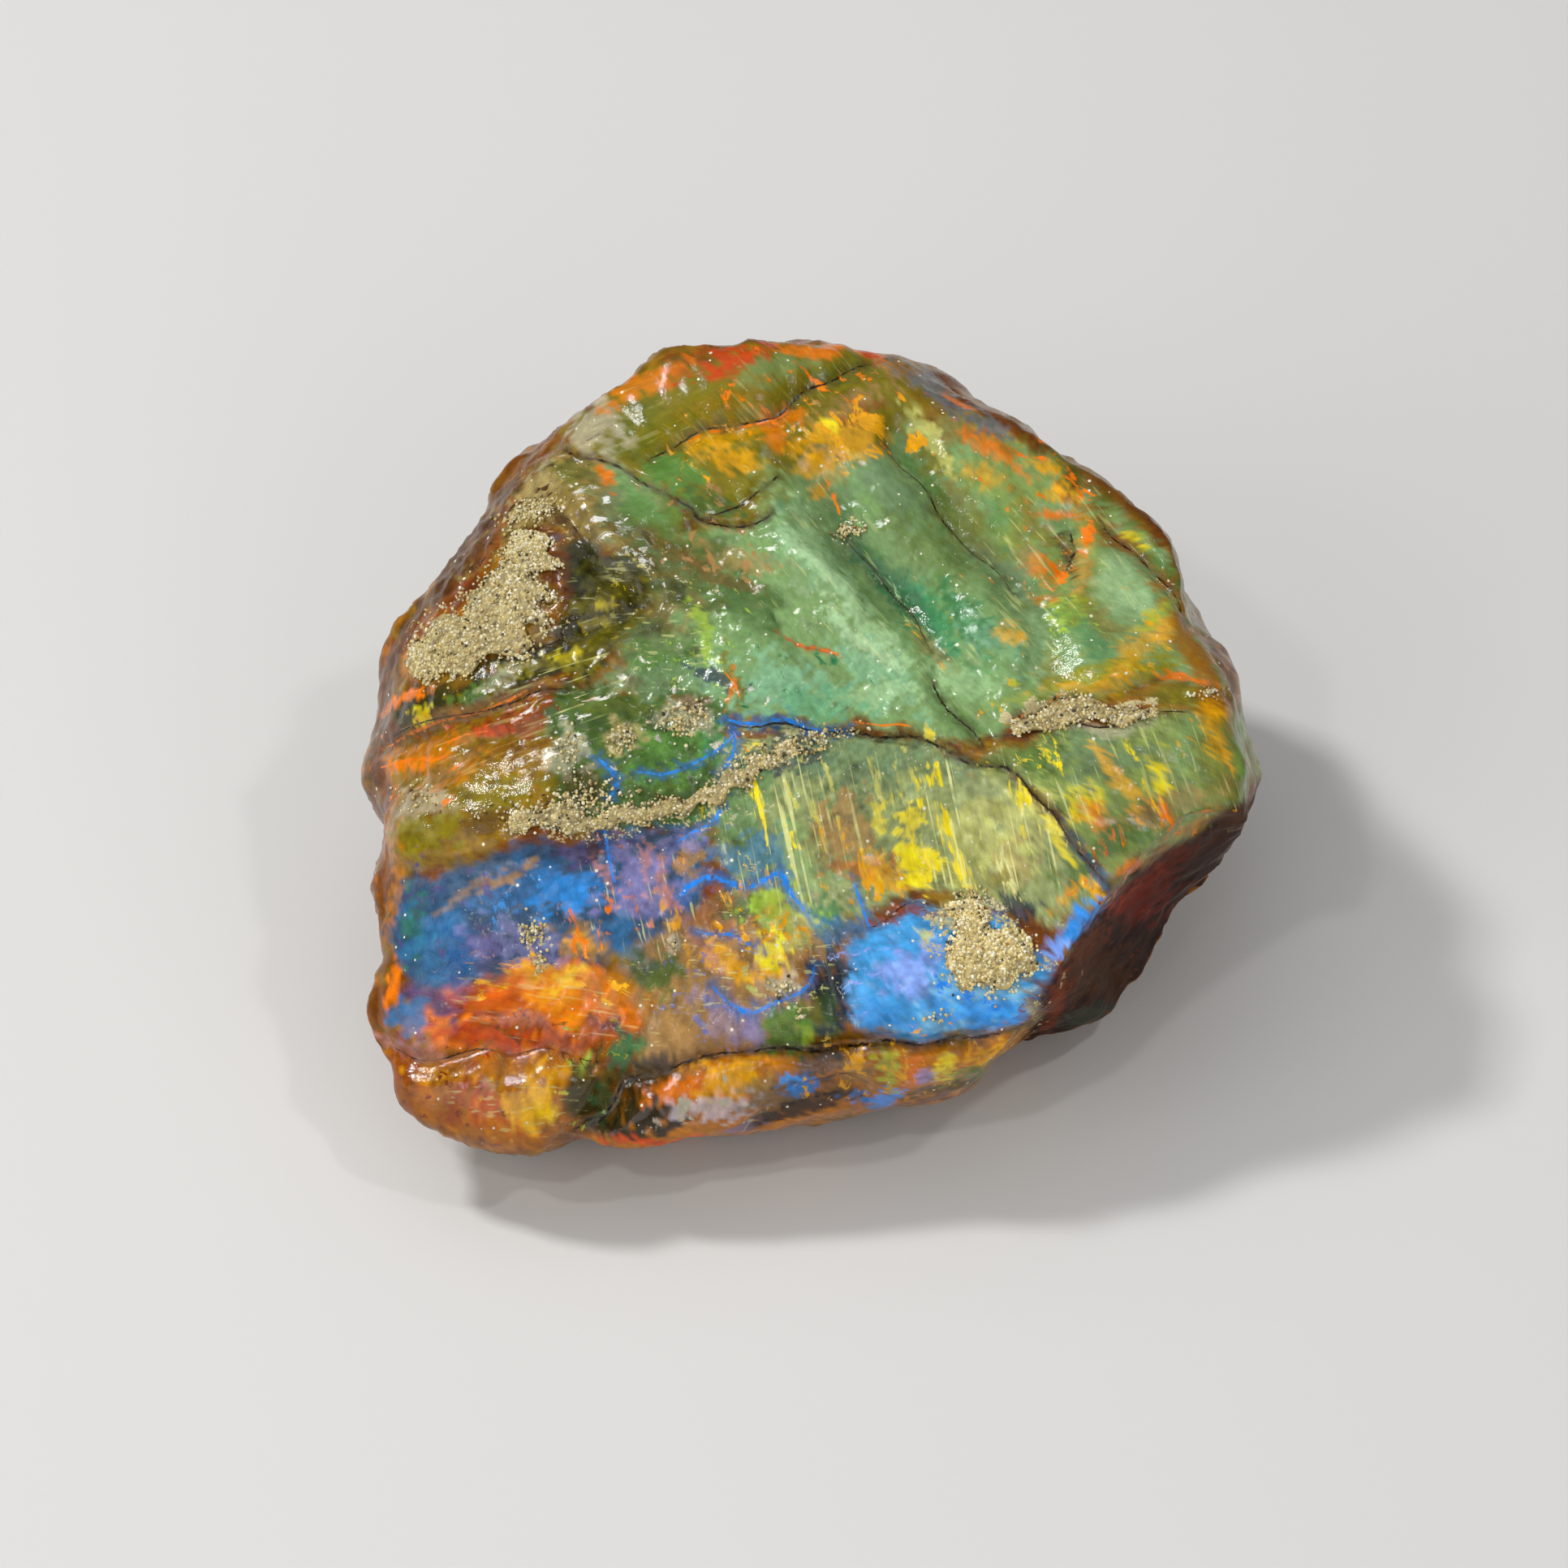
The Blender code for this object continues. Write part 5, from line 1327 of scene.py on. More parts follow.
dust = np.clip(most_of(DUST_SPOTS) + back_dust, 0, 1)
oiled = 1 - 0.95 * broken_off - 0.55 * back * (1 - broken_off)
streaks = most_of(STREAK_SPOTS)
print("clearness runs from", round(float(clear.min()), 2), "to", round(float(clear.max()), 2))

# %% [markdown]
# ## Materials as short chains of nodes
#
# Every finish is built from the same few steps: add a node, set its values and link its inputs. One
# helper does all three, and five short ones give the steps that come back again and again. What is
# the same all over a surface is set on the shader itself.

# %% One helper for every node, and its commonest uses
def add_node(material, kind, inputs=None, **settings):
    """A node with its settings. An input that another node gives is linked, any other is set."""
    node = material.node_tree.nodes.new(kind)
    for name, value in settings.items():
        setattr(node, name, value)
    for socket, value in (inputs or {}).items():
        if isinstance(value, bpy.types.NodeSocket):
            material.node_tree.links.new(value, node.inputs[socket])
        else:
            node.inputs[socket].default_value = value
    return node


def noise_node(material, where, scale, detail, roughness=0.5, **more):
    """Cloudy numbers between 0 and 1: scale is how many clouds fit in one unit of where."""
    inputs = {"Vector": where, "Scale": scale, "Detail": detail, "Roughness": roughness, **more}
    return add_node(material, "ShaderNodeTexNoise", inputs).outputs["Fac"]


def ramp_node(material, value, span=(0.0, 1.0), onto=(0.0, 1.0)):
    """A number carried in proportion from one span onto another, and held at both ends."""
    names = ("Value", "From Min", "From Max", "To Min", "To Max")
    inputs = dict(zip(names, (value, *span, *onto)))
    return add_node(material, "ShaderNodeMapRange", inputs).outputs["Result"]


def math_node(material, operation, *numbers):
    """What one operation makes of two or three numbers."""
    inputs = dict(enumerate(numbers))
    return add_node(material, "ShaderNodeMath", inputs, operation=operation).outputs["Value"]


def mix_node(material, share, under, over):
    """One colour laid over another by a share."""
    inputs = {"Factor": share, "A": under, "B": over}
    return add_node(material, "ShaderNodeMix", inputs, data_type="RGBA").outputs["Result"]


def scale_node(material, colour, factor):
    """A colour made lighter or darker by a factor."""
    inputs = {0: colour, "Scale": factor}
    return add_node(material, "ShaderNodeVectorMath", inputs, operation="SCALE").outputs["Vector"]


def new_material(name):
    """An empty node material and its output node."""
    material = bpy.data.materials.new(name)
    material.use_nodes = True
    material.node_tree.nodes.clear()
    return material, add_node(material, "ShaderNodeOutputMaterial")


def per_metre(size_mm):
    """Noise scale that repeats once in a size given in mm."""
    return 1 / (size_mm * MM)


def rgba(colour):
    """A palette colour as the four numbers that a colour socket takes."""
    return (*linear(colour), 1.0)


print("a noise of 0.3 mm repeats", round(per_metre(0.3)), "times in a metre")

# %% [markdown]
# ## Amber
#
# The skin is oiled, and reflects like glass with a refractive index of 1.54. The stored paint is
# broken up by grain, by the second colour that shows through in flecks, by the thin lines and by pale
# dust in the pores, at the sizes that a loupe shows. The volume takes green a little and blue
# strongly, as amber does. A single paint for all of it would look like lacquer on clay.

# %% Paint, flecks, striae and thin lines
LINE_COLOURS = (("Z", "orange"), ("Y", "vein"), ("X", "crack"))
ACROSS_GRAIN = (0.9, 3.6, 0.3)              # striae are this many times finer along, across and in
FRAY = (-1.5, 1.5)                          # half widths by which a thin line wanders
LINE_EDGE = (0.4, 1.3)                      # half widths between which a thin line fades


def flecked(material, stored, shares):
    """The stored paint, with the second colour where a noise drawn out along the grain is high."""
    along = stored["flow"].outputs["Vector"]
    grain = noise_node(material, along, 1.0, 5.0, 0.65, Distortion=0.4)
    level = ramp_node(material, shares["Red"], onto=(0.80, 0.24))
    shown = ramp_node(material, math_node(material, "SUBTRACT", grain, level), (-0.01, 0.05))
    body = mix_node(material, shown, stored["paint"].outputs["Color"], stored["deep"].outputs["Color"])
    shade = ramp_node(material, noise_node(material, along, 2.4, 3.0, 0.6), (0.28, 0.72), (0.82, 1.18))
    return scale_node(material, body, shade)


def striated(material, colour, stored):
    """Pale threads: the same noise squeezed across the grain and drawn out along it, cut high."""
    inputs = {0: stored["flow"].outputs["Vector"], 1: ACROSS_GRAIN}
    squeezed = add_node(material, "ShaderNodeVectorMath", inputs, operation="MULTIPLY").outputs
    bright = ramp_node(material, noise_node(material, squeezed["Vector"], 1.0, 1.0), (0.62, 0.70))
    share = math_node(material, "MULTIPLY", bright, stored["shares"].outputs["Alpha"])
    return mix_node(material, share, colour, rgba("striae"))


def lined(material, colour, stored, coords):
    """Thin lines where the stored distance passes through 0, frayed by a fine noise."""
    offsets, nears = (
        add_node(material, "ShaderNodeSeparateXYZ", {"Vector": stored[name].outputs["Vector"]}).outputs
        for name in ("line_offset", "line_near"))
    fray = ramp_node(material, noise_node(material, coords, per_metre(0.35), 2.0), onto=FRAY)
    for axis, line_colour in LINE_COLOURS:
        far = math_node(material, "ABSOLUTE", math_node(material, "ADD", offsets[axis], fray))
        drawn = ramp_node(material, far, LINE_EDGE, (1.0, 0.0))
        share = math_node(material, "MULTIPLY", drawn, nears[axis])
        colour = mix_node(material, share, colour, rgba(line_colour))
    return colour


print(len(LINE_COLOURS), "kinds of thin line")

# %% [markdown]
# ## Dust, grains and painted glints on the amber
#
# Dry sand has rubbed into the pores, thickest beside the crusts, and single pale specks sit in the oil
# all
# over: sand grains, and painted glints of the wet skin. Both are flat and far smaller than a cell of
# the mesh, so the material draws them.

# %% Dust in the pores, single grains and painted glints
# The pale specks are single sand grains and painted glints of the wet skin; these two numbers set both.
GRAIN_GLINT_SPACING = 0.75                        # mm between single grains
GRAIN_GLINT_REACH = 0.19                          # the largest grain, as a share of that


def dusted(material, dust, coords):
    """Share of sandy dust: a fine noise that stands above a level, lower where more dust lies."""
    powder = noise_node(material, coords, per_metre(0.30), 3.0, 0.7)
    level = ramp_node(material, dust, onto=(0.84, 0.26))
    return ramp_node(material, math_node(material, "SUBTRACT", powder, level), (-0.02, 0.06))


def speckled(material, colour, oiled_share, coords):
    """Pale grains and painted glints of random size, one in every other cell of a scattered grid, where
    oiled.
    """
    inputs = {"Vector": coords, "Scale": per_metre(GRAIN_GLINT_SPACING)}
    grains = add_node(material, "ShaderNodeTexVoronoi", inputs).outputs
    chosen = add_node(material, "ShaderNodeSeparateColor", {"Color": grains["Color"]}).outputs["Red"]
    radius = ramp_node(material, chosen, (0.5, 1.0), (0.0, GRAIN_GLINT_REACH))
    inside = math_node(material, "SUBTRACT", radius, grains["Distance"])
    speck = ramp_node(material, inside, (0.0, 0.05))
    # Painted highlights, in part: the pale specks on the oil also stand for tiny glints.
    grain_and_glint = math_node(material, "MULTIPLY", speck, oiled_share)
    return mix_node(material, grain_and_glint, colour, rgba("grain and glint white"))


print("the largest single grain is", round(2 * GRAIN_GLINT_SPACING * GRAIN_GLINT_REACH, 2), "mm wide")

# %% [markdown]
# ## Oiled amber, put together
#
# A thin film of oil lies over the skin where it is wet and bare, with duller patches where it has worn
# off. Under it the skin is smooth to slightly rough, rougher where it is dry or dusty. A hammered
# noise of 0.4 mm breaks up the reflections, as the fine pits of the real skin do.

# %% Amber finish
AMBER_INDEX = 1.54
AMBER_TINT = (0.95, 0.60, 0.12, 1.0)
AMBER_DENSITY = 320.0
SMOOTHEST, ROUGHEST = 0.12, 0.30
DRY_ROUGHER, DUST_ROUGHER = 0.35, 0.3
FILM = 0.42                                 # share of a full clear coat
FILM_INDEX, FILM_ROUGHNESS = 1.5, 0.04
UNDER_FILM = 0.08                           # reflection of the skin itself, dulled under the film
HAMMER_SIZE = 0.4                           # mm
HAMMER_DEPTH = 0.12                         # mm
STORED = ("paint", "deep", "shares", "flow", "line_offset", "line_near", "oiled")


def amber_finish():
    """The lump's material: stored paint, flecks, thin lines, dust and specks, clear where stored so."""
    material, output = new_material("oiled_amber")
    coords = add_node(material, "ShaderNodeTexCoord").outputs["Object"]
    stored = {name: add_node(material, "ShaderNodeAttribute", attribute_name=name) for name in STORED}
    oiled_share = stored["oiled"].outputs["Fac"]
    shares = add_node(material, "ShaderNodeSeparateColor",
                      {"Color": stored["shares"].outputs["Color"]}).outputs

    colour = striated(material, flecked(material, stored, shares), stored)
    colour = lined(material, colour, stored, coords)
    dusty = dusted(material, shares["Blue"], coords)
    sand = mix_node(material, noise_node(material, coords, per_metre(0.12), 1.0),
                    rgba("dust shade"), rgba("dust light"))
    colour = speckled(material, mix_node(material, dusty, colour, sand), oiled_share, coords)

    worn = noise_node(material, coords, per_metre(2.5), 3.0, 0.65)
    gloss = ramp_node(material, worn, (0.35, 0.7), (SMOOTHEST, ROUGHEST))
    dry = math_node(material, "SUBTRACT", 1.0, oiled_share)
    duller = math_node(material, "MULTIPLY_ADD", dry, DRY_ROUGHER, gloss)
    bare = math_node(material, "SUBTRACT", 1.0, dusty)
    wet = math_node(material, "MULTIPLY", oiled_share, bare)
    roughness = math_node(material, "MULTIPLY_ADD", dusty, DUST_ROUGHER, duller)
    hammered = noise_node(material, coords, per_metre(HAMMER_SIZE), 3.0, 0.65)
    hammer = add_node(material, "ShaderNodeBump",
                      {"Height": hammered, "Strength": 0.4, "Distance": HAMMER_DEPTH * MM})
    bumps = hammer.outputs["Normal"]
    shader = add_node(material, "ShaderNodeBsdfPrincipled", {
        "IOR": AMBER_INDEX, "Specular IOR Level": UNDER_FILM,
        "Coat Roughness": FILM_ROUGHNESS, "Coat IOR": FILM_INDEX,
        "Base Color": colour, "Roughness": roughness,
        "Coat Weight": math_node(material, "MULTIPLY", wet, FILM),
        "Transmission Weight": math_node(material, "MULTIPLY", shares["Green"], bare),
        "Normal": bumps, "Coat Normal": bumps})
    absorb = add_node(material, "ShaderNodeVolumeAbsorption",
                      {"Color": AMBER_TINT, "Density": AMBER_DENSITY})
    material.node_tree.links.new(shader.outputs["BSDF"], output.inputs["Surface"])
    material.node_tree.links.new(absorb.outputs["Volume"], output.inputs["Volume"])
    return material


def new_piece(name, points, faces, material):
    """A mesh piece from points in metres and faces, riding on the object's one body."""
    mesh = bpy.data.meshes.new(name)
    mesh.from_pydata(points.tolist(), [], faces.tolist())
    mesh.materials.append(material)
    mesh.polygons.foreach_set("use_smooth", np.ones(len(mesh.polygons), bool))
    mesh.update()
    piece = bpy.data.objects.new(name, mesh)
    bpy.context.scene.collection.objects.link(piece)
    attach(piece, "root")
    return piece


def store(piece, name, values, kind="FLOAT_COLOR"):
    """Keep colours or directions on the points of a piece for its material to read."""
    layer = piece.data.attributes.new(name, kind, "POINT").data
    if kind == "FLOAT_VECTOR":
        layer.foreach_set("vector", values.ravel())
        return
    if values.shape[1] == 3:
        values = np.concatenate((values, np.ones((len(values), 1))), axis=1)
    layer.foreach_set("color", values.ravel())


lump = new_piece("amber_skin", to_world(skin), lump_quads, amber_finish())
store(lump, "paint", np.clip(paint, 0, 1))
store(lump, "deep", np.clip(deep, 0, 1))
store(lump, "shares", np.stack((cover, clear, dust, streaks), axis=1))
store(lump, "oiled", np.repeat(oiled[:, None], 3, axis=1))
store(lump, "flow", flow, "FLOAT_VECTOR")
store(lump, "line_offset", line_offset, "FLOAT_VECTOR")
store(lump, "line_near", line_near, "FLOAT_VECTOR")
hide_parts("amber_lump")
print("lump:", len(lump.data.vertices), "points")

# %% [markdown]
# ## Sandy matrix
#
# The crusts are the sand that the resin was bedded in: rounded grains of quartz, straw to grey, with a
# few dark ones, held by dried silt. Each crust is a thin ragged cushion of silt that follows the
# amber, with real grains heaped on it and strewn around. A texture of grains would look printed.

# %% Where the crusts lie
SILT_LIFT = 0.05                    # mm by which a cushion lies proud of the amber
EDGE_LIFT = 0.03                    # mm of thickness at its rim
# Places along the middle of each patch, and its half width there, in face units.
CRUST_LEFT = (
    (652, 655, 14), (652, 690, 36), (636, 738, 56), (598, 780, 58), (548, 810, 46), (508, 832, 24),
)
CRUST_MIDDLE = (
    (632, 1018, 12), (680, 1008, 20), (740, 1012, 16), (800, 1002, 13), (860, 988, 16), (905, 962, 20),
    (945, 936, 13), (980, 920, 8),
)
CRUST_RIGHT = (
    (1242, 898, 10), (1285, 886, 18), (1330, 872, 18), (1375, 884, 13), (1420, 878, 8),
)
CRUST_LOWER = (
    (1180, 1108, 16), (1185, 1140, 34), (1200, 1175, 48), (1235, 1180, 40), (1262, 1150, 22),
)
lump_tree = BVHTree.FromPolygons([Vector(p) for p in skin.tolist()], lump_quads.tolist())


def on_face(spots):
    """Points of the skin, in mm from the heart, that the viewer sees at spots on the face."""
    far = 60.0
    starts = spots @ AXES[:2] + far * AXES[2]
    towards = Vector(-AXES[2])
    hits = [lump_tree.ray_cast(Vector(start), towards)[0] for start in starts]
    return np.array([hit if hit is not None else (np.nan,) * 3 for hit in hits])


def crust_spots(course, along, across):
    """Spots on the face for shares along a patch's course and across its width."""
    middle = rounded([face_point(x, y) for x, y, _ in course], cuts=24)
    at = np.linspace(0.0, 1.0, len(middle))
    mid = np.stack([np.interp(along, at, middle[:, k]) for k in (0, 1)], axis=1)
    ahead = np.stack([np.interp(along + 0.01, at, middle[:, k]) for k in (0, 1)], axis=1)
    behind = np.stack([np.interp(along - 0.01, at, middle[:, k]) for k in (0, 1)], axis=1)
    run = ahead - behind
    run /= np.linalg.norm(run, axis=1)[:, None]
    half = np.interp(along, np.linspace(0, 1, len(course)), [w * UNIT for _, _, w in course])
    return mid + np.stack((-run[:, 1], run[:, 0]), axis=1) * (across * half)[:, None]


def ragged_width(course, along, across, seed):
    """How far a patch reaches, in half widths: clouds along its rim push it in and out."""
    rim = crust_spots(course, along, np.sign(across))
    return 0.78 + 0.40 * cloud(in_space(rim), 2.4, seed, 1)


hits = on_face(np.array([face_point(1200, 1175)]))
print("the lower crust lies", round(float(hits[0] @ AXES[2]), 1), "mm in front of the heart")

# %% [markdown]
# ## Grains
#
# A grain is a ball of twenty triangles with its corners pushed in and out, and of unequal size in each
# direction. That is enough for sand of 0.3 mm. Most are straw, and a few are white, brown or black.

# %% Grains
GRAIN_RADIUS = (0.07, 0.15)         # mm
DENT = (0.82, 1.15)                 # shares by which a grain's corners are pushed in or out


def grain_ball():
    """Corners and triangles of a twenty-sided grain."""
    golden = (1 + math.sqrt(5)) / 2
    corners = np.array([(s, t * golden, 0) for s in (-1, 1) for t in (-1, 1)], float)
    corners = np.concatenate([np.roll(corners, turn, axis=1) for turn in (0, 1, 2)])
    pairs = np.linalg.norm(corners[:, None] - corners[None], axis=2) < 2.1
    faces = [(i, j, k) for i in range(12) for j in range(i) for k in range(j)
             if pairs[i, j] and pairs[j, k] and pairs[i, k]]
    faces = np.array([f if np.linalg.det(corners[list(f)]) > 0 else f[::-1] for f in faces])
    return corners / np.linalg.norm(corners[0]), faces


GRAIN_CORNERS, GRAIN_FACES = grain_ball()
GRAIN_SHARES = {"sand pale": 0.30, "sand straw": 0.26, "sand tan": 0.15, "sand white": 0.14,
                "sand grey": 0.08, "sand dark": 0.04, "sand brown": 0.03}
GRAIN_COLOURS = np.array([linear(name) for name in GRAIN_SHARES])


def heap(centres, seed, radius=GRAIN_RADIUS):
    """Grains at centres: uneven balls of random size, turn and colour, as points, faces and colours."""
    rng = np.random.default_rng(seed)
    count = len(centres)
    sizes = rng.uniform(*radius, (count, 1, 1)) * rng.uniform(0.75, 1.25, (count, 1, 3))
    turns, _ = np.linalg.qr(rng.normal(size=(count, 3, 3)))
    turns *= np.sign(np.linalg.det(turns))[:, None, None]
    dents = rng.uniform(*DENT, (count, len(GRAIN_CORNERS), 1))
    points = (GRAIN_CORNERS[None] * dents * sizes) @ turns + centres[:, None]
    faces = GRAIN_FACES[None] + (np.arange(count) * len(GRAIN_CORNERS))[:, None, None]
    tones = GRAIN_COLOURS[rng.choice(len(GRAIN_COLOURS), count, p=list(GRAIN_SHARES.values()))]
    tones = tones * rng.uniform(0.75, 1.1, (count, 1))
    return points.reshape(-1, 3), faces.reshape(-1, 3), np.repeat(tones, len(GRAIN_CORNERS), axis=0)


print("a grain has", len(GRAIN_FACES), "triangles")

# %% [markdown]
# ## Dry sand
#
# Sand is dull and each grain has one colour, stored on its points. A fine noise darkens and lightens
# it, as powder between the grains does.

# %% Sand finish
def sand_finish():
    """Dry sandy matrix: the grains' own colours, dull, with a fine powdery grain."""
    material, output = new_material("dry_sand")
    coords = add_node(material, "ShaderNodeTexCoord").outputs["Object"]
    stored = add_node(material, "ShaderNodeAttribute", attribute_name="paint")
    shade = ramp_node(material, noise_node(material, coords, per_metre(0.12), 2.0), onto=(0.65, 1.35))
    colour = scale_node(material, stored.outputs["Color"], shade)
    shader = add_node(material, "ShaderNodeBsdfPrincipled",
                      {"Roughness": 0.5, "IOR": 1.5, "Base Color": colour})
    material.node_tree.links.new(shader.outputs["BSDF"], output.inputs["Surface"])
    return material


SAND = sand_finish()
print("sand is made of", len(SAND.node_tree.nodes), "nodes")

# %% [markdown]
# ## Crusts
#
# The cushion of silt ends a little inside the rim of the grains, so that the rim is a row of single
# grains and not a hem. Grains are drawn at random over the patch and kept where clouds along its rim
# allow. Some stray further out.

# %% Silt cushions with grains heaped on them
SILT_INSET = 0.12                   # half widths between the silt's rim and the grains' rim
HUMPS = (0.7, 0.25, 1.6)            # height of a cushion: mean share, share of the clouds, their mm
TORN_RIM = (0.22, 1.3)              # how far clouds tear the rim, in half widths, and their mm
STRAYS = (0.22, 0.25)               # how far grains stray, in half widths, and how many of them do
GRAIN_SINK = (-0.07, 0.05)          # mm below or above the silt at which a grain is centred


def plumpness(along, across):
    """Height of a cushion, 1 in its middle and 0 at its rim."""
    ends = 1 - np.abs(2 * along - 1) ** 8
    return np.sqrt(np.clip(ends * (1 - np.abs(across) ** 4), 0.0, 1.0))


def cushion_faces(shape):
    """Quads of a closed cushion: a bottom grid, a top grid after it and a wall around both."""
    rows, columns = shape
    cell = np.arange(rows * columns).reshape(rows, columns)
    a, b, c, d = cell[:-1, :-1], cell[1:, :-1], cell[1:, 1:], cell[:-1, 1:]
    top = np.stack((a, b, c, d), axis=-1).reshape(-1, 4) + rows * columns
    bottom = top[:, ::-1] - rows * columns
    rim = np.concatenate((cell[:-1, 0], cell[-1, :-1], cell[:0:-1, -1], cell[0, :0:-1]))
    ahead = np.roll(rim, -1)
    wall = np.stack((rim, ahead, ahead + rows * columns, rim + rows * columns), axis=1)
    return np.concatenate((bottom, top, wall))


def silt_cushion(course, thickness, seed, cuts, rng):
    """A ragged cushion on the skin: its lower and upper points, their colours and its quads."""
    along, across = np.meshgrid(np.linspace(0, 1, cuts[0] + 1), np.linspace(-1, 1, cuts[1] + 1),
                                indexing="ij")
    flat_along, flat_across = along.ravel(), across.ravel()
    reach = ragged_width(course, flat_along, flat_across, seed) - SILT_INSET
    reach = np.clip(reach, SILT_INSET, 0.95)
    low = on_face(crust_spots(course, flat_along, flat_across * reach)) + SILT_LIFT * AXES[2]
    mean, swing, size = HUMPS
    uneven = mean + swing * cloud(low, size, seed + 1) + rng.uniform(-0.14, 0.14, len(low))
    rise = EDGE_LIFT + (thickness - EDGE_LIFT) * plumpness(flat_along, flat_across) * uneven
    high = low + AXES[2] * np.clip(rise, EDGE_LIFT, None)[:, None]
    shade = 0.8 + 0.2 * cloud(low, 0.8, seed + 2) + rng.uniform(-0.3, 0.3, len(low))
    return low, high, linear("dried silt") * shade[:, None], cushion_faces(along.shape)


def grain_centres(course, thickness, seed, count, rng):
    """Middles of the grains: heaped on the cushion, and fewer and fewer past its ragged rim."""
    along, across = rng.uniform(0.0, 1.0, count), rng.uniform(-1.25, 1.25, count)
    reach = ragged_width(course, along, across, seed)
    tear, size = TORN_RIM
    torn_rim = tear * cloud(in_space(crust_spots(course, along, across)), size, seed + 3, 2)
    far, share = STRAYS
    strewn = far * rng.normal(size=count) ** 2 * (rng.uniform(size=count) < share)
    kept = np.abs(across) < reach + torn_rim + strewn
    along, across, reach = along[kept], across[kept], reach[kept]
    base = on_face(crust_spots(course, along, across))
    mean, swing, size = HUMPS
    uneven = mean + swing * cloud(np.nan_to_num(base), size, seed + 1)
    plump = plumpness(along, np.clip(across / reach, -1, 1))
    lift = SILT_LIFT + (thickness - EDGE_LIFT) * plump * uneven
    lift = np.clip(lift, 0, None) + rng.uniform(*GRAIN_SINK, len(along))
    centres = base + AXES[2] * lift[:, None]
    return centres[~np.isnan(centres[:, 0])]


def sand_crust(name, node, course, thickness, seed, cuts, count, tone=1.0):
    """A crust: a ragged cushion of silt on the skin, with grains heaped over it and strewn around."""
    rng = np.random.default_rng(seed)
    low, high, silt, body = silt_cushion(course, thickness, seed, cuts, rng)
    centres = grain_centres(course, thickness, seed, count, rng)
    points, faces, tones = heap(centres, seed)
    triangles = np.concatenate((body[:, [0, 1, 2]], body[:, [0, 2, 3]], faces + 2 * len(low)))
    piece = new_piece(name, to_world(np.concatenate((low, high, points))), triangles, SAND)
    store(piece, "paint", np.clip(tone * np.concatenate((silt, silt, tones)), 0, 1))
    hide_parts(node)
    print(name, len(triangles), "triangles,", len(centres), "grains")


# Piece, node that it replaces, course, thickness in mm, seed, cells along and across, grains drawn.
sand_crust("left_crust", "sand_crust_left", CRUST_LEFT, 0.55, 71, (80, 44), 3200)
sand_crust("middle_crust", "sand_crust_middle", CRUST_MIDDLE, 0.4, 72, (130, 14), 1400)
sand_crust("right_crust", "sand_crust_right", CRUST_RIGHT, 0.4, 73, (70, 14), 800)
sand_crust("lower_crust", "sand_crust_lower", CRUST_LOWER, 0.45, 74, (60, 30), 1800, 1.3)

# %% [markdown]
# ## Crumbs
#
# Small tufts of the same sand sit apart from the crusts, in hollows and on the milky ledge.

# %% Loose crumbs
CRUMB_SPREAD = 0.6                  # spread of a tuft, as a share of its half lengths
# Each tuft: its middle, half lengths, turn in degrees and number of grains.
CRUMBS = (
    (1048, 656, 17, 9, 20, 60), (662, 1146, 14, 15, 0, 70), (672, 1182, 8, 13, 0, 24),
    (770, 912, 14, 13, 0, 60), (840, 892, 20, 17, 20, 80), (862, 872, 12, 8, 0, 20),
    (704, 926, 12, 20, 0, 50), (735, 975, 30, 12, 0, 60), (520, 985, 22, 20, 0, 40),
    (962, 1212, 13, 12, 0, 40), (1190, 1102, 17, 9, 0, 50), (655, 630, 36, 13, 15, 170),
    (940, 935, 46, 14, 20, 120), (1015, 905, 40, 7, 5, 60), (985, 925, 30, 10, 10, 60),
    (700, 990, 90, 16, 5, 160), (1480, 856, 20, 7, 10, 40), (835, 1160, 5, 9, 0, 12),
    (1150, 1250, 20, 6, 10, 20), (985, 1245, 6, 10, 0, 12),
)


def crumbs(seed=75):
    """Grains strewn at the named spots, thinning outwards, joined into one piece."""
    rng = np.random.default_rng(seed)
    spots = []
    for x, y, long, short, turn, count in CRUMBS:
        u, v = rng.normal(size=(2, count)) * np.array([[long], [short]]) * UNIT * CRUMB_SPREAD
        spots.append(np.array(face_point(x, y)) + np.stack(turned(u, v, -turn), axis=1))
    base = on_face(np.concatenate(spots))
    base = base[~np.isnan(base[:, 0])]
    points, faces, tones = heap(base + AXES[2] * rng.uniform(0.02, 0.22, len(base))[:, None], seed)
    piece = new_piece("sand_crumbs", to_world(points), faces, SAND)
    store(piece, "paint", tones)
    print("crumbs:", len(faces), "triangles")


crumbs()

# %% [markdown]
# ## Floor, light and camera
#
# The lump lies on a plain pale floor. A wide softbox above and behind it and two wide low ones, left
# and front, give even light. A small bright one at the upper left models the relief, and two lamps
# no larger than a coin make the glints that show the oil. The camera looks down at 45 degrees
# through a long lens, so the outline is drawn almost without perspective.

# %% Studio
LENS = 250.0
SENSOR = 36.0
FRAME_UNITS = 1932
FLOOR_TONE = (0.74, 0.73, 0.71, 1.0)
FLOOR_ROUGHNESS = 0.9
FLOOR_SIZE = 3.0
FLOOR_DROP = 0.0001
SKY_TONE = (0.95, 0.97, 1.0, 1.0)
SKY_STRENGTH = 0.15
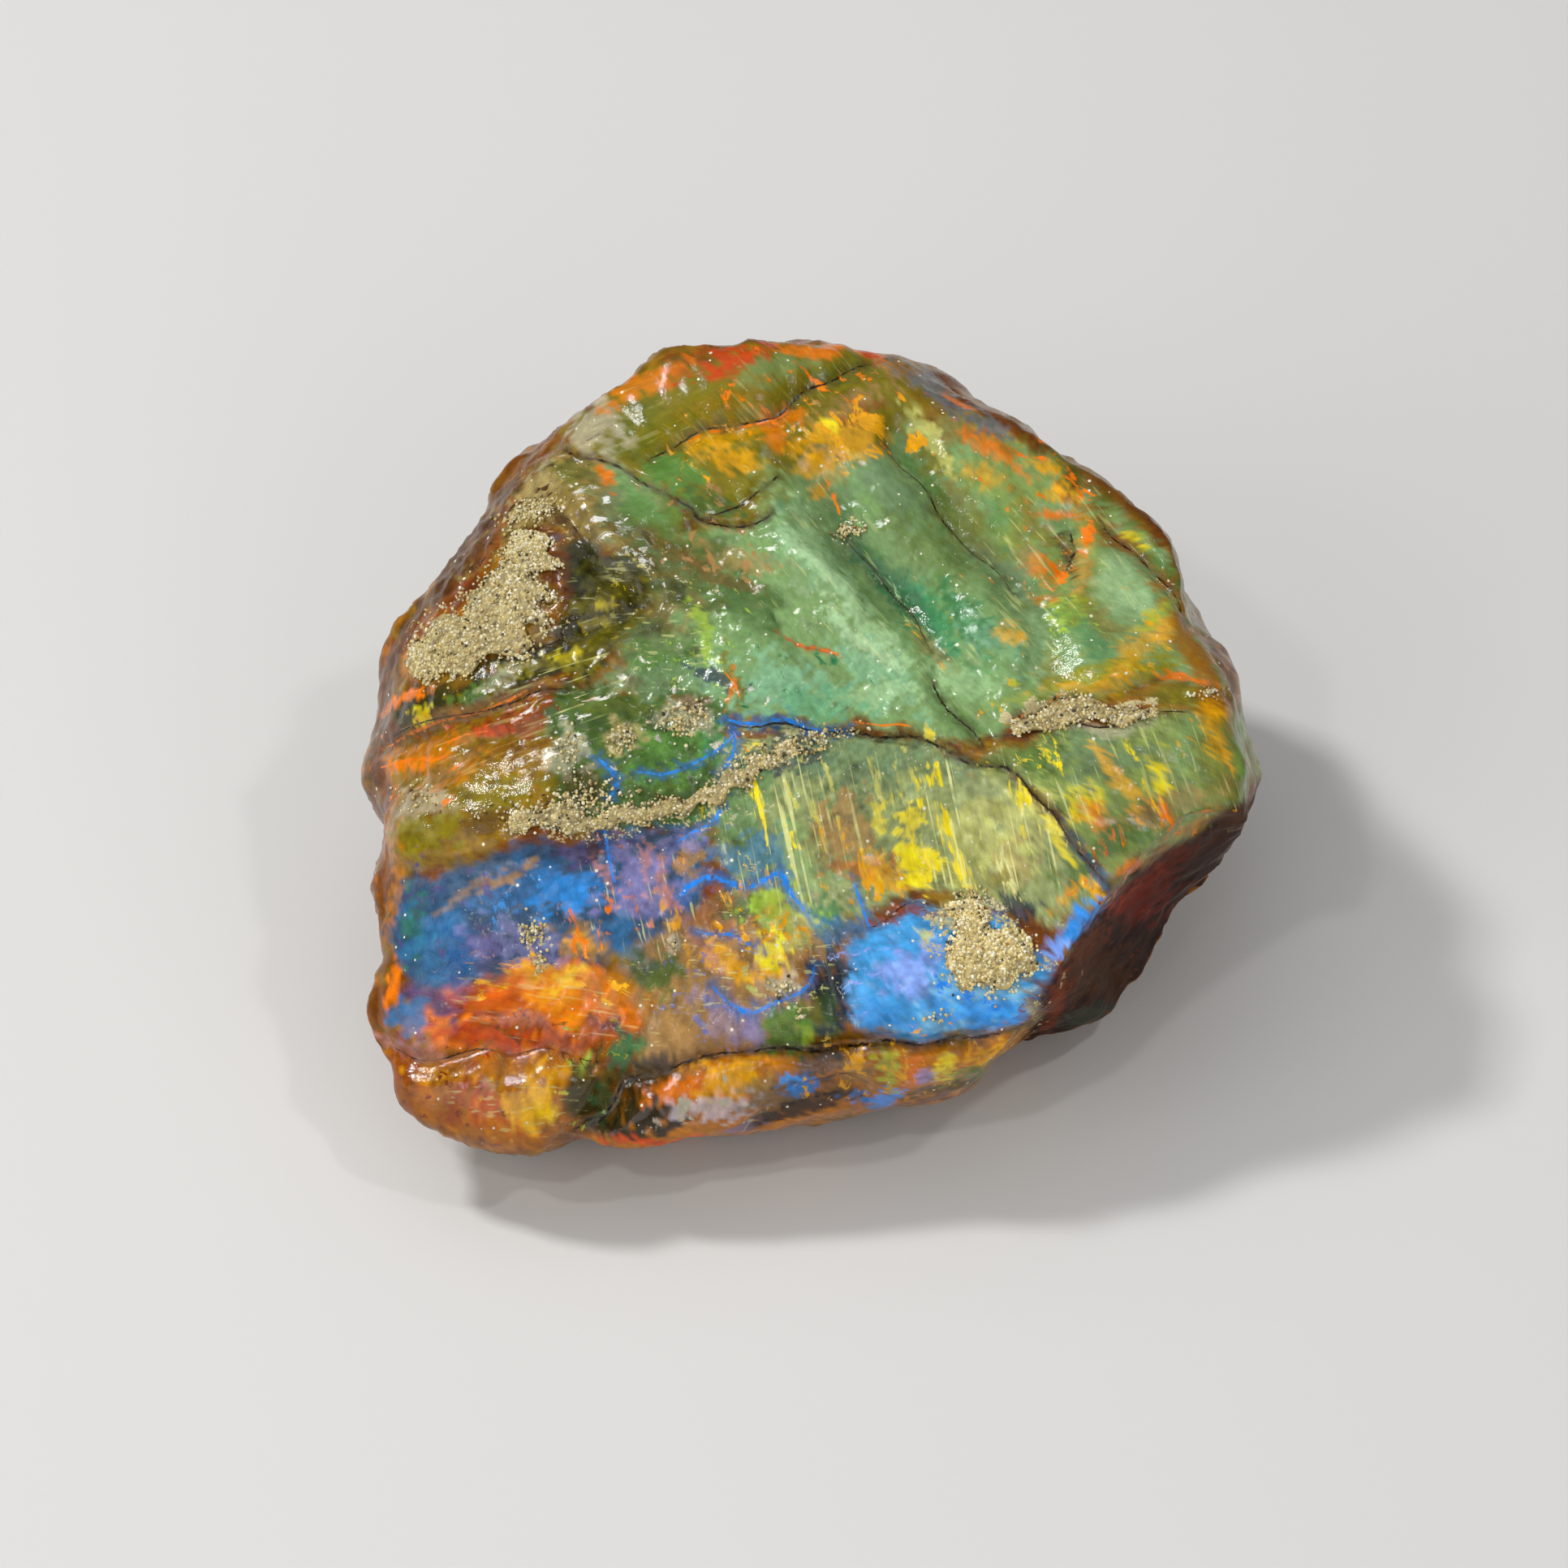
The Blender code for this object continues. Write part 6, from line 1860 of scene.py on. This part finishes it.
# Lamps: name, place and side in metres, power in watts.
LAMPS = (
    ("softbox_top", (-0.05, 0.30, 0.75), 0.80, 1.0),
    ("softbox_key", (-0.34, 0.14, 0.50), 0.08, 1.8),
    ("softbox_left", (-0.45, -0.42, 0.30), 0.60, 1.7),
    ("softbox_front", (0.30, -0.55, 0.30), 0.60, 1.2),
    ("glint_left", (-0.20, -0.30, 0.55), 0.035, 0.32),
    ("glint_right", (0.26, -0.10, 0.55), 0.035, 0.32),
)


def pale_floor():
    """A large plain floor a hair below the resting plane."""
    bpy.ops.mesh.primitive_plane_add(size=FLOOR_SIZE, location=(0, 0, -FLOOR_DROP))
    floor = bpy.context.object
    floor.name = "studio_floor"
    material, output = new_material("matte_paper")
    shader = add_node(material, "ShaderNodeBsdfPrincipled",
                      {"Base Color": FLOOR_TONE, "Roughness": FLOOR_ROUGHNESS})
    material.node_tree.links.new(shader.outputs["BSDF"], output.inputs["Surface"])
    floor.data.materials.append(material)


def softbox(name, place, size, power, aim=(0.0, 0.0, 0.015)):
    """A square soft light at a place, turned towards the lump."""
    light = bpy.data.lights.new(name, "AREA")
    light.shape = "SQUARE"
    light.size = size
    light.energy = power
    lamp = bpy.data.objects.new(name, light)
    lamp.location = place
    lamp.rotation_euler = (Vector(aim) - Vector(place)).to_track_quat("-Z", "Y").to_euler()
    bpy.context.scene.collection.objects.link(lamp)


def look_down():
    """A camera whose frame puts the face's centre where the photograph has it."""
    data = bpy.data.cameras.new("camera")
    data.lens = LENS
    data.sensor_width = SENSOR
    data.clip_start = 0.01
    camera = bpy.data.objects.new("camera", data)
    distance = FRAME_UNITS * UNIT * MM * LENS / SENSOR
    middle = FRAME_UNITS / 2
    off_right, off_up = face_point(middle, middle)
    aim = to_world(off_right * AXES[0] + off_up * AXES[1])
    camera.location = aim + distance * AXES[2]
    camera.rotation_euler = (math.pi / 2 - VIEW_TILT, 0.0, 0.0)
    bpy.context.scene.collection.objects.link(camera)
    bpy.context.scene.camera = camera
    print("camera", round(distance, 3), "m away")


pale_floor()
for lamp in LAMPS:
    softbox(*lamp)
world = bpy.data.worlds.new("studio")
world.use_nodes = True
sky = world.node_tree.nodes["Background"].inputs
sky["Color"].default_value = SKY_TONE
sky["Strength"].default_value = SKY_STRENGTH
bpy.context.scene.world = world
bpy.context.scene.view_settings.view_transform = "Standard"
look_down()
